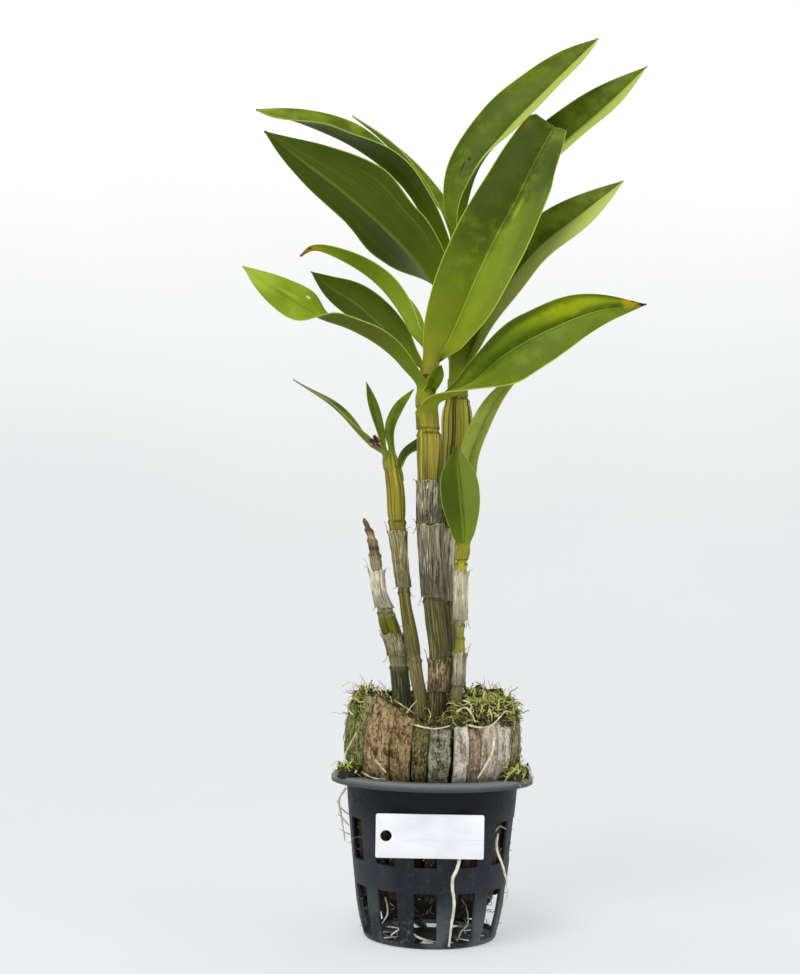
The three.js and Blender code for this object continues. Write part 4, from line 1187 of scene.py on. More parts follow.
class ORCHID_OT_ball(bpy.types.Operator):
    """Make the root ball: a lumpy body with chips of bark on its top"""
    bl_idname = "orchid.ball"
    bl_label = "Root Ball"

    def execute(self, context):
        shell = Shell()
        points, u = ball_body()
        shell.rod(points, u, points[..., 2] / 100)
        draw = np.random.default_rng(5)
        for _ in range(BARK_CHIPS):
            add_chip(shell, draw)
        shell.settled("root_ball_finished", ball_finish(), "moss_and_root", "root_ball")
        return {"FINISHED"}


# -------- moss

# Beds of moss: centre, reach along x and y, height of its crown, share of the full
# density, and whether it is yellowish (1) or dark (0).
MOSS_BEDS = [
    ((24, -20, 104), (12, 9, 8), 1.0, 0.9),
    ((31, -8, 105), (9, 12, 7.5), 1.0, 0.8),
    ((20, 0, 106), (11, 10, 8), 0.8, 0.6),
    ((12, -27, 100), (6, 5, 4), 0.6, 0.6),
    ((-31, -14, 107), (6, 8, 9), 0.8, 0.5),
    ((-24, -2, 104), (9, 9, 7), 0.6, 0.3),
    ((-22, -20, 103), (6, 5, 5), 0.6, 0.2),
    ((-12, 14, 104), (13, 11, 7), 0.7, 0.5),
    ((12, 20, 105), (13, 11, 8), 0.8, 0.7),
    ((0, 28, 105), (14, 6, 7), 0.8, 0.5),
    ((2, -18, 99), (10, 6, 3.5), 0.4, 0.1),
    ((-38.5, -20, 78.5), (5.5, 5, 3.2), 0.9, 0.5),
    ((38.5, -15, 79), (6, 5.5, 3.5), 1.0, 0.8),
    ((36, -24, 78), (5, 4, 2.6), 0.8, 0.6),
    ((-34, 30, 78), (6, 5, 3), 0.7, 0.5),
    ((30, 34, 78), (7, 5, 3), 0.7, 0.6),
]

MOSS_CURLS = {
    "moss_strands_dark": [(0.35, "#1f2a0a"), (0.5, "#3c4a12"), (0.65, "#5d6a1c")],
    "moss_strands_green": [(0.35, "#4c6414"), (0.5, "#7c9426"), (0.65, "#a3b445")],
    "moss_strands_gold": [(0.35, "#938f3c"), (0.5, "#c6c06a"), (0.65, "#e4dda4")],
}

# The farthest that loose moss reaches from the pot's axis.
RIM_ROOM = 47


def moss_finish():
    f = Finish("moss_green_gold")
    patch = f.cloud(120)
    each = f.cloud(900, detail=1)
    # Painted shade: the bed and each sprig's foot are near black, as shade deep in the moss, over the
    # moss's own darker base.
    dark = f.mix("#14170a", "#2b2b10", patch.ramp(0.4, 0.6))
    tip = f.mix("#98a43a", "#f0df84", patch.ramp(0.42, 0.62))
    tip = f.mix(tip, "#8a6a35", each.ramp(0.56, 0.7) * 0.75)
    f.colour = f.mix(dark, tip, f.side.ramp(0.05, 0.7))
    return f.done(0.8)


def curl_finish(name):
    f = Finish(f"{name}_skin")
    f.bands(f.cloud(170), *MOSS_CURLS[name])
    return f.done(0.75, Specular_IOR_Level=0.25)


def moss_mound(centre, size, seed):
    """Lumpy half ball with its lowest ring carried down into what it grows on."""
    angle = full_turn(28)
    polar = np.linspace(0.04, 0.5, 9)[:, None] * math.pi
    grow = 1 + 0.28 * ripple(np.cos(angle) * 2 * np.sin(polar), np.sin(angle) * 2, polar * 2,
                             0.8, seed)
    x = centre[0] + size[0] * grow * np.sin(polar) * np.cos(angle)
    y = centre[1] + size[1] * grow * np.sin(polar) * np.sin(angle)
    points = np.stack([x, y, centre[2] + size[2] * grow * np.cos(polar)], -1)
    return closed(np.concatenate([points, points[-1:] - (0, 0, 3.0)]))


def hold(line, room):
    """Keeps a line within a reach of the pot's axis."""
    away = np.hypot(line[:, 0], line[:, 1])
    line[:, :2] *= np.minimum(1, room / away)[:, None]


class ORCHID_OT_moss(bpy.types.Operator):
    """Grow moss sprigs on lumpy beds over the root ball and on the pot's rim"""
    bl_idname = "orchid.moss"
    bl_label = "Moss"

    def execute(self, context):
        fill = context.scene.orchid_fill
        material = moss_finish()
        recipe = sprig_recipe("moss_sprigs", material)
        for number, (centre, size, density, _) in enumerate(MOSS_BEDS, 1):
            shell = Shell()
            shell.rod(moss_mound(centre, size, number * 1.9), 0.5, 0.5)
            made = shell.piece(f"moss_bed_{number:02d}", material)
            recipe.apply(made, {"Density": fill.moss_density * density * 1e4,
                                "Length": fill.moss_length, "Thickness": 0.0003,
                                "Lean": 1.0, "Seed": fill.seed + number}, material)
            settle(made, "moss_and_root")
        draw = np.random.default_rng(fill.seed + 40)
        names = list(MOSS_CURLS)
        curls = {name: [] for name in names}
        for centre, size, density, gold in MOSS_BEDS:
            share = [0.38 - 0.3 * gold, 0.32, 0.3 + 0.3 * gold]
            for _ in range(int(7.5 * density * math.sqrt(size[0] * size[1]))):
                turn, polar = draw.uniform(0, TURN), math.acos(draw.uniform(0.1, 1))
                out = np.array([math.sin(polar) * math.cos(turn),
                                math.sin(polar) * math.sin(turn), math.cos(polar)])
                heading = out * 0.35 + draw.normal(size=3) * 0.8 + (0, 0, 0.1)
                line = wander(draw, centre + out * size, heading, draw.uniform(5, 14), 11, 0.5)
                line[:, 2] -= 0.7 * np.linspace(0, 1, 12) ** 2
                hold(line, RIM_ROOM)
                curls[names[draw.choice(3, p=share)]].append(
                    (line, draw.uniform(0.24, 0.62) * np.linspace(1, 0.4, 12)))
        for name, lines in curls.items():
            settle(strands(name, lines, curl_finish(name), sides=5), "moss_and_root")
        return {"FINISHED"}


# -------- roots and fibres

# Roots that stand for nodes of their own: points, radius at the thick end.
ROOTS = [
    ("root_below_tag", [(13, -35.4, 46), (12.2, -37.2, 42.2), (11, -39.6, 38), (9, -40, 33),
                        (10, -38.6, 22), (9, -37.6, 13), (8, -36, 3)], 0.8),
    ("root_right_slot", [(30.3, -22, 51), (29.5, -28.5, 46), (33, -28.6, 36),
                         (35, -26.4, 26), (33, -26, 19)], 0.62),
    ("root_under_rim", [(-41, -8.4, 69.5), (-44, -8, 64), (-43, -6, 56), (-41, -4.6, 44)], 0.55),
    ("root_over_husk", [(27.5, -33.2, 97), (26.6, -34.2, 90), (23, -35.8, 83),
                        (20, -36.6, 78.3)], 0.65),
]

# Thin roots and fibres that lie over the fill: points, radius at the thick end.
PALE_ROOTS = [
    ([(-26.9, -38.5, 86), (-24.5, -39.2, 83.5), (-21.8, -39.5, 80.6)], 0.62),
    ([(-41.5, -21, 80), (-41, -22.5, 86), (-38.5, -24, 92), (-36, -25, 97)], 0.5),
    ([(-18.4, -26, 112), (-14, -29, 109.5), (-9.1, -29, 106.4)], 0.35),
    ([(-15, -32, 104.5), (-12, -30, 108), (-8.3, -28, 112.5)], 0.32),
    ([(10, -34, 108), (14, -35.5, 110), (17, -37, 107), (18.5, -37.6, 103.5)], 0.45),
    ([(13, -33, 113), (15, -34.5, 112.6), (17, -35, 110.2)], 0.4),
    ([(-11, -40, 102.6), (-5, -41.2, 101.2), (1, -41.4, 100.8), (7, -41, 102.2)], 0.42),
    ([(15.5, -38.5, 102.4), (20, -37.8, 101.2), (25, -35.6, 101.6), (29, -32.2, 104.5)], 0.5),
    ([(29, -32, 104.5), (33, -27, 108), (37, -21, 107), (40.5, -15, 105)], 0.38),
    ([(-38, -22, 105), (-40.4, -18, 108), (-37, -16, 114), (-34, -14, 117)], 0.35),
    ([(-34, -16, 116), (-38, -15, 119.6), (-41.5, -15, 119), (-43.5, -14, 117.5)], 0.3),
    ([(-22, -16, 114), (-24.5, -16, 119), (-26.5, -17, 121)], 0.3),
    ([(-40, -12, 80), (-45, -14, 82.5), (-48, -16, 80.5)], 0.28),
    ([(38, -16, 80), (43, -18, 82.5), (45.5, -19, 80), (47, -20, 76.8)], 0.35),
    ([(-33, -22, 78.5), (-27, -35, 77.3), (-22, -37, 77.2)], 0.4),
    ([(-39.5, -8, 57), (-43.2, -10, 60.5), (-45, -12, 64)], 0.4),
    ([(-39, -9, 52), (-42.4, -11, 56), (-44.6, -12.5, 58.5)], 0.35),
    ([(-38.4, -10, 48), (-41, -12, 49.5), (-43.4, -13, 51)], 0.3),
    ([(29, -21, 52), (31.5, -23.5, 55), (34, -25, 54)], 0.35),
    ([(-12, -24, 9), (-6, -28, 5), (2, -27, 2.6), (8, -29, 3.4)], 0.6),
    ([(12, -26, 3), (14, -24, 7), (17, -25, 11), (16, -22, 19)], 0.4),
    ([(-16, -22, 3), (-18, -25, 5), (-14, -27, 9), (-13, -24, 18)], 0.35),
    ([(20, -22, 30), (21, -26, 20), (19, -24, 8), (22, -20, 3)], 0.5),
    ([(-22, -20, 24), (-20, -24, 15), (-24, -20, 6), (-20, -18, 3)], 0.45),
]


def root_finish(name, *tones):
    f = Finish(name)
    spot = f.cloud(1300, 700, detail=2)
    f.bands(f.cloud(300, 200), *tones)
    f.lay("#6f6a35", spot.ramp(0.6, 0.7) * 0.6)
    return f.done(0.65, f.bump(spot, 0.15, 0.6))


def fibre_finish():
    f = Finish("fibre_brown")
    f.bands(f.cloud(260, detail=2), (0.35, "#2b2113"), (0.5, "#6b5a36"), (0.65, "#a8a05e"))
    return f.done(0.8)


def wander(draw, start, heading, length, steps, turn):
    """A wandering line from a place, for a fibre or a thin root."""
    points = [np.array(start, float)]
    heading = unit(heading)
    for _ in range(steps):
        heading = unit(heading + turn * draw.normal(size=3))
        points.append(points[-1] + heading * length / steps)
    return np.array(points)


class ORCHID_OT_roots(bpy.types.Operator):
    """Lay the pale roots over the husk, down the slots and across the pot's floor"""
    bl_idname = "orchid.roots"
    bl_label = "Pale Roots"

    def execute(self, context):
        skin = root_finish("root_white_skin", (0.3, "#bdb79a"), (0.5, "#ddd8c2"),
                           (0.7, "#f2eedf"))
        t = np.linspace(0, 1, 60)
        for name, points, radius in ROOTS:
            line = Path(points).at(t)
            line[:, 0] += 0.18 * ripple(line[:, 2] / 3, 0, 0, 1.0, 3.0)
            thick = radius * (1 - 0.45 * t ** 2) * (1 + 0.12 * ripple(t * 30, 0, 0, 1.0))
            settle(strands(f"{name}_finished", [(line, thick)], skin, sides=10),
                   "root_white", name)
        skin = root_finish("root_pale_skin", (0.3, "#8d8a5c"), (0.5, "#d2ccab"),
                           (0.7, "#efe9d3"))
        t = np.linspace(0, 1, 26)
        lines = []
        for points, radius in PALE_ROOTS:
            wobble = [ripple(t * 9, k, 0, 1.0, radius * 9) for k in range(3)]
            lines.append((Path(points).at(t) + 0.25 * np.stack(wobble, -1),
                          radius * (1 - 0.5 * t ** 2)))
        settle(strands("pale_roots", lines, skin, sides=7), "root_white")
        return {"FINISHED"}


# Fibres to a degree of the ring, at its torn rim and down its strips, then those lying on
# the fill out to a reach, and those in each slot.
RIM_FIBRES, STRIP_FIBRES = 0.9, 0.55
TOP_FIBRES, TOP_REACH = 520, 37
SLOT_FIBRES = 7


def rim_fibres(draw):
    """Short fibres that stand from the torn tops of the strips."""
    for start, stop, one, other, *_ in HUSKS:
        for _ in range(int((stop - start) * RIM_FIBRES)):
            share = draw.uniform()
            angle = math.radians(start + (stop - start) * share - 90)
            z = one + (other - one) * share
            reach = float(husk_radius(z)) - draw.uniform(0.3, 3.2)
            out = outward(angle)
            heading = ((0, 0, draw.uniform(0.2, 1)) + out * draw.uniform(-0.7, 0.5)
                       + draw.normal(size=3) * 0.5)
            line = wander(draw, reach * out + (0, 0, z - 1.0), heading,
                          draw.uniform(2.5, 8.5), 8, 0.3)
            yield line, 0.16 * np.linspace(1, 0.45, 9)


def top_fibres(draw):
    """Fibres that lie on the fill."""
    for _ in range(TOP_FIBRES):
        angle = draw.uniform(0, TURN)
        away = TOP_REACH * math.sqrt(draw.uniform(0.04, 1))
        x, y = away * math.cos(angle), away * math.sin(angle)
        heading = np.array([draw.normal(), draw.normal(), draw.uniform(-0.1, 0.6)])
        line = wander(draw, (x, y, float(ball_top(x, y)) + 0.3), heading,
                      draw.uniform(4, 16), 10, 0.35)
        line[:, 2] = np.maximum(line[:, 2], ball_top(line[:, 0], line[:, 1]) + 0.2)
        yield line, draw.uniform(0.12, 0.3) * np.linspace(1, 0.5, 11)


def strip_fibres(draw):
    """Fibres that run down the faces of the strips."""
    for start, stop, one, _, slant, *_ in HUSKS:
        for _ in range(int((stop - start) * STRIP_FIBRES)):
            share = draw.uniform()
            z = draw.uniform(80, one - 3)
            up = (z - HUSK_FOOT) / (one - HUSK_FOOT)
            angle = start + (stop - start) * share - slant * (1 - up) - 90
            line = []
            for k in range(8):
                a = math.radians(angle + draw.normal() * 0.25)
                height = max(z - k * draw.uniform(0.6, 1.3), 77.2)
                reach = float(husk_radius(height)) + 0.35 + 0.35 * math.sin(k * 1.1)
                line.append((reach * math.cos(a), reach * math.sin(a), height))
            yield np.array(line), draw.uniform(0.08, 0.17)


def slot_fibres(draw):
    """Fibres that show in the pot's slots, held back behind the tag."""
    for column in range(SLOT_COLUMNS):
        for low, high in np.repeat(SLOT_ROWS, SLOT_FIBRES, axis=0):
            angle = SLOT_START + TURN * column / SLOT_COLUMNS
            angle += draw.uniform(-0.12, 0.12)
            z = draw.uniform(low + 2, high - 2)
            reach = float(wall_radius(z)) - 3.0
            out = outward(angle)
            heading = out * 0.5 + (0, 0, draw.uniform(-1, 0.3))
            line = wander(draw, reach * out + (0, 0, z), heading, draw.uniform(2, 6), 7, 0.35)
            behind_tag = (line[:, 1] < 0) & (abs(line[:, 0]) < 29) & (line[:, 2] > 36)
            hold(line, wall_radius(line[:, 2]) + np.where(behind_tag, -1.8, 1.5))
            yield line, draw.uniform(0.1, 0.22)


class ORCHID_OT_fibres(bpy.types.Operator):
    """Scatter brown fibres over the husk's torn tops, the fill and the slots"""
    bl_idname = "orchid.fibres"
    bl_label = "Husk Fibres"

    def execute(self, context):
        fill = context.scene.orchid_fill
        draw = np.random.default_rng(fill.seed)
        lines = [line for kind in (rim_fibres, top_fibres, strip_fibres, slot_fibres)
                 for line in kind(draw)]
        made = strands("husk_fibres", lines, fibre_finish(), sides=4,
                       thickness=fill.hair_thickness)
        settle(made, "moss_and_root")
        return {"FINISHED"}


# -------- leaves

# Each leaf's name starts with its cane's. midrib runs from its clasping base to its tip,
# and sheath holds the heights between which that base goes round the cane. facing holds
# the directions that its upper face looks in and fold how steeply its halves rise, both
# from base to tip. widest is where it is widest, half way up unless given, neck the share
# of that width at its base, fullness how long it stays wide and blunt the share left at
# its tip. lean is how much one half outgrows the other, skew how far one side runs ahead.
# clear is the base's extra room, reach_up how far up the blade it is felt, and collar is
# off where no pipe closes the base. tone colours the whole, with front, back, lit, root,
# foot and keel for zones, half, lit_half_back, rooted, blotched and rim for their strength and
# root_reach for how far up root shows. lit with half, and lit_half_back, are painted light on
# the half of a blade that faces the light, and rim is a painted highlight along its margins.
# patches are marks: place across and along, reach, colour and strength. slot is the material slot.
LEAVES = {
    "main_terminal": dict(sheath=(266.5, 273), width=39, midrib=[(-1, -14.5, 272), (3.4, -16, 281),
        (10.5, -18.5, 297), (17.3, -20, 313.6), (26, -21, 332.6), (35, -21.5, 350),
        (44.3, -21.5, 369.8), (50.6, -21, 382), (54, -17.6, 388.4), (55.3, -11, 388.4),
        (55.5, -4, 385), (55, 2, 380)], clear=1.1, reach_up=0.08, collar=False,
        facing=[(-0.3, -1, 0.3), (-0.4, -1, 0.2), *[(-0.45, -1, 0.1)] * 5, (-0.4, -1, 0.1),
        (-0.3, -1, 0.15), (0.45, -0.1, 0.87), (0.45, 0, 0.87)], fold=[30, 20, 16, 8, -2],
        widest=0.34, neck=0.42, fullness=1.45, lean=[-0.1, -0.02, -0.12, -0.22],
        skew=[0, 0, 0, 0.12, 0.75, 0.75], half=0.22, root="#a3b62e", rooted=0.45, foot="#a39a45",
        patches=[(0.10, 0.765, 0.05, 0.022, "#a8702a", 0.6),
        (0.66, 0.34, 0.2, 0.2, "#98ab2a", 0.35), (0.25, 0.66, 0.4, 0.3, "#344606", 0.75),
        (0.8, 0.74, 0.25, 0.14, "#36480a", 0.7), (0.2, 0.2, 0.3, 0.16, "#6f7d22", 0.5),
        (0.62, 0.55, 0.04, 0.04, "#a4b84a", 0.5)]),
    "main_right": dict(slot="leaf_light", sheath=(241, 249.5), width=29.5, midrib=[(-1, -14, 248),
        (14, -20, 261), (33, -24, 277), (55, -26, 289), (75, -26, 297), (98, -24, 301)],
        facing=[(-0.5, -0.5, 0.8), (-0.1, -1, 0.1), (0, -1, 0.2)], fold=[50, 22, 15], widest=0.36,
        neck=0.68, lean=[0.7, 0.42, 0.12, -0.04, -0.04], half=0.35, lit="#8a9c3c",
        # The two lime patches first in this list, on the upper half, are a painted highlight.
        patches=[(0.22, 0.68, 0.17, 0.22, "#a3b418", 0.8), (0.26, 0.46, 0.12, 0.14, "#90a31c", 0.6),
        (0.3, 0.93, 0.35, 0.035, "#b9a21c", 0.8), (0.06, 0.35, 0.12, 0.4, "#3f520a", 0.7),
        (0.7, 0.12, 0.3, 0.14, "#93a622", 0.6), (0.5, 0.985, 0.5, 0.014, "#2a1a12", 1.0),
        (0.1, 0.945, 0.1, 0.01, "#2a1a12", 0.9), (0.4, 0.4, 0.3, 0.2, "#44640f", 0.5)]),
    "main_left_low": dict(slot="leaf_light", sheath=(251.5, 257.5), width=20,
        midrib=[(-9, -12, 256), (-16, -16, 269), (-27, -20, 279), (-42, -23, 287), (-58, -26, 292),
        (-72, -28, 299), (-84, -29, 307), (-94, -29, 315)], facing=[(0.6, 0.2, 0.8),
        (0.3, 0.3, 0.9), (0, 0, 1), (-0.1, -1, 0.3), (-0.2, -1, 0)], fold=[55, 45, 32, 14, 10],
        fullness=1.6, lean=[0.12], tone="young", back="#616c2c", front="#8aa430", blotched=0.3,
        patches=[(0.5, 0.94, 0.7, 0.12, "#b0c856", 0.7), (0.8, 0.68, 0.03, 0.012, "#e8ecc8", 0.9),
        (0.65, 0.76, 0.05, 0.05, "#c0b85c", 0.5)]),
    # Painted shade: this leaf, in the shade behind the others, takes the deep tone and a dark back.
    "main_left_dark": dict(slot="leaf_dark", sheath=(262, 268.5), width=21, collar=False,
        midrib=[(-8, -7.5, 267), (-22, -2, 286), (-39, 3, 303), (-54, 6, 313), (-64, 7, 321)],
        facing=[(0.6, 0.3, 0.7), (0.3, 0.9, 0.5), (0.3, 0.9, 0.4)], fold=[50, 25, 15], neck=0.24,
        tone="deep", back="#4f620c", patches=[(0.5, 0.99, 0.5, 0.03, "#4d4f1c", 0.8)]),
    "main_left_curled": dict(sheath=(272.5, 278.5), width=20.5, midrib=[(-8, -9.5, 276.5),
        (-18, -9, 297), (-30, -8, 312), (-47, -5, 324), (-63, -2, 330), (-69, 0, 327)],
        facing=[(0.6, -0.3, 0.75), (0.5, 0, 0.85), (0.1, 0.5, 0.9)], fold=[58, 50, 40], widest=0.32,
        neck=0.3, fullness=1.05, tone="young", back="#76890e", root="#a9c04a", rooted=0.9,
        root_reach=0.7, patches=[(0.5, 0.97, 0.8, 0.11, "#a98b14", 0.95),
        (0.5, 0.995, 0.6, 0.04, "#8a4f16", 0.95), (0.7, 0.94, 0.15, 0.02, "#2a160c", 0.9),
        (0.3, 0.93, 0.14, 0.015, "#2a160c", 0.9)]),
    "main_bract": dict(slot="leaf_dark", width=7, rim=1, midrib=[(-4, -14.4, 259.5), (-2, -17, 264),
        (1, -19, 271)], facing=[(0.3, -1, 0.3), (0.2, -1, 0)], fold=[30, 20], neck=0.7),
    "rear_right_low": dict(sheath=(260.5, 269), width=27.5, midrib=[(12.5, 8.8, 266),
        (19, 5.5, 289), (33, 4, 314), (48, 2, 333), (69, -2, 350), (89.5, -4, 366.5)],
        facing=[(-0.5, -0.85, 0.2), (-0.45, -0.85, 0.4), (-0.4, -0.9, 0.45)], fold=[50, 30, 20],
        neck=0.6, fullness=1.7, half=0.95, front="#74862e", lit="#c6d48c"),
    "rear_left_big": dict(sheath=(283, 295), width=39, midrib=[(5.5, 12.5, 293), (-2, 9, 315),
        (-20, 4, 335), (-48, 0, 359), (-71, -2, 376), (-88, -2, 389)], facing=[(0.8, 0.3, 0.4),
        (0.3, 0.9, 0.4), (0.2, 0.9, 0.3)], fold=[50, 34, 22], widest=0.38, neck=0.49,
        back="#44570c", root="#86a31a", rooted=0.75, lean=[0.1, 0.28, 0.05, -0.22, -0.15, 0],
        patches=[(0.56, 0.42, 0.02, 0.07, "#2a3a0a", 0.7)]),
    "rear_right_top": dict(sheath=(304.5, 312.5), width=29, midrib=[(11.5, 16.5, 311),
        (23, 22, 345), (41, 26, 372), (63, 28, 395), (85, 28, 415), (106, 26, 436)],
        facing=[(-0.8, -0.1, 0.5), (-0.5, -0.75, 0.45), (-0.45, -0.8, 0.4)], fold=[50, 35, 25],
        fullness=1.7, lean=[-0.1, -0.18], half=0.95, front="#66781a", lit="#bccd80"),
    "rear_left_top": dict(sheath=(319, 327), width=28, midrib=[(4, 15.5, 324), (-4, 17, 345),
        (-19, 19, 369), (-42, 21, 388), (-70, 22, 401), (-95, 22, 408)], facing=[(0.9, 0.1, 0.4),
        (0.6, 0, 0.8), (0.4, -0.5, 0.8), (0.3, -0.85, 0.5)], fold=[60, 50, 44, 28], widest=0.55,
        neck=0.28, back="#3f5605", front="#8ba43c"),
    "rear_left_back": dict(slot="leaf_light", width=15, tone="young", back="#7a9628",
        midrib=[(9.5, 21.5, 335), (6, 29, 352), (-2, 34, 365), (-12, 37, 378.5), (-22, 38, 390.5),
        (-34, 37, 401.5), (-46, 36, 410.5)], facing=[(0.2, -0.9, 0.4), (0.5, -0.3, 0.8),
        (0.5, -0.2, 0.8)], fold=[35, 40, 30], neck=0.26),
    "rear_terminal": dict(sheath=(331, 340.4), width=35.5, midrib=[(10.5, 15, 338), (13, 18, 359),
        (19.5, 21, 380), (34, 23, 400), (53.8, 23, 421.5), (80, 20, 448)],
        facing=[(-0.8, -0.3, 0.4), (-0.6, -0.65, 0.4), (-0.5, -0.65, 0.5)], fold=[55, 32, 25],
        widest=0.48, neck=0.32, fullness=1.7, lean=[0, -0.1, -0.12], half=0.95, front="#64781a",
        lit="#bccd80", patches=[(0.27, 0.30, 0.012, 0.035, "#0d1208", 1.0),
        (0.31, 0.335, 0.03, 0.008, "#0d1208", 1.0), (0.3, 0.62, 0.3, 0.3, "#55690e", 0.5)]),
    "young_back": dict(slot="leaf_light", width=12.5, tone="young", front="#cbd884", rooted=0,
        blotched=0.25, midrib=[(13.8, -10.4, 186), (15, -4, 208), (16, -2, 227), (22, -1, 244),
        (30, 0, 259), (44, 2, 275)], facing=[(0, -1, 0.2), (-0.4, -0.8, 0.3), (-0.5, -0.6, 0.6)],
        fold=[40, 35, 20], widest=0.55, neck=0.3, back="#9db062"),
    "young_front": dict(sheath=(178, 184.5), width=20, lit_half_back=0.55, back="#4f6412",
        midrib=[(13, -16, 182), (12.5, -18, 192), (11, -20, 206), (9.5, -20, 221), (9, -17, 232)],
        facing=[(0, 1, 0.3), (0.1, 1, 0.1), (0.1, 0.9, -0.4)], fold=[45, 30, 25], widest=0.55,
        blunt=0.22, keel="#9cbb5c"),
    "left_outer": dict(width=9.5, front="#88904e", back="#7c8640", rim=0.4,
        midrib=[(-25.2, -7, 227), (-36, -9, 237), (-50, -11, 251), (-70, -12, 264)],
        facing=[(0.5, 0.3, 0.8), (0.4, -0.3, 0.8), (0.4, -0.2, 0.8)], fold=[45, 30, 15],
        widest=0.45),
    "left_upright": dict(width=7, front="#7f8c40", back="#7f8c40", blotched=0.3, rim=0.4,
        midrib=[(-25.6, -3, 228), (-29.5, -1, 244), (-35, 0, 265)], facing=[(0.8, -0.5, 0.2),
        (0.5, -0.8, 0.2)], fold=[40, 20]),
    "left_inner": dict(slot="leaf_light", width=7, tone="young", front="#74852c", rim=0.6,
        midrib=[(-21, -2, 229), (-22.5, 2, 242), (-19, 5, 253), (-12, 7, 263)],
        facing=[(-0.6, -0.8, 0), (-0.4, -0.9, 0.4)], fold=[45, 20]),
    "left_low": dict(slot="leaf_dark", width=8, tone="deep", rim=0.6, midrib=[(-18.5, -2.6, 221),
        (-15, 0, 229), (-8, 3, 235), (0, 4, 242)], facing=[(-0.6, -0.6, 0.4), (-0.3, -0.9, 0.4)],
        fold=[45, 20]),
}

# Rows along and columns across a grown blade and a small one.
BLADE, SMALL_BLADE = (92, 30), (52, 18)
# A clasping base's rows, and its own coordinate along it at its foot.
CLASP_ROWS, CLASP_V = 14, -0.06
# How far it goes round the cane to each side, in degrees: a leaf's and a bract's.
CLASP_SPAN, BRACT_SPAN = 100, 62
# A blade's thickness at the foot of its midrib, and how much of that its tip lacks.
RIB, RIB_TAPER = 1.15, 0.6
# Angle that the halves cup by, and length of the waves along a margin.
CUP, WAVE = math.radians(16), 46


def leaf_outline(leaf, t):
    """Half-width along the blade as a share of its widest."""
    widest, neck = leaf.get("widest", 0.5), leaf.get("neck", 0.34)
    swell = neck + (1 - neck) * np.sin(np.pi / 2 * np.clip(t / widest, 0, 1))
    left = np.clip((t - widest) / (1 - widest), 0, 1) ** leaf.get("fullness", 1.25)
    taper = np.maximum(np.cos(np.pi / 2 * left), leaf.get("blunt", 0.03))
    return np.where(t < widest, swell, taper)


def blade_points(leaf, path, t, place):
    """A blade's upper face, rows along the midrib and columns across, with the directions
    that it faces and that lie across it."""
    spine, along = path.at(t), path.tangent(t)
    face = eased(leaf["facing"], t)
    face = unit(face - along * np.sum(face * along, -1, keepdims=True))
    across = np.cross(along, face)
    t, out = t[:, None], np.abs(place)[None, :]
    side = np.sign(place)[None, :]
    half = leaf["width"] / 2 * leaf_outline(leaf, t)
    reach = out * half * (1 + side * eased(leaf.get("lean", [0.0]), t))
    rise = (np.radians(eased(leaf["fold"], t))
            + CUP * (0.5 - out) * smoothstep(0, 0.2, t))
    wave = np.sin(TURN * t * path.length / WAVE + side * 1.3 + letters(leaf["name"], 31))
    wave = 0.012 * leaf["width"] * (wave * smoothstep(0.05, 0.3, t) * out ** 2)
    skew = side * reach * eased(leaf.get("skew", [0.0]), t)
    points = spine[:, None] + (across[:, None] * (side * reach * np.cos(rise))[..., None]
                               + face[:, None] * (reach * np.sin(rise) + wave)[..., None]
                               - along[:, None] * skew[..., None])
    return points, face, across


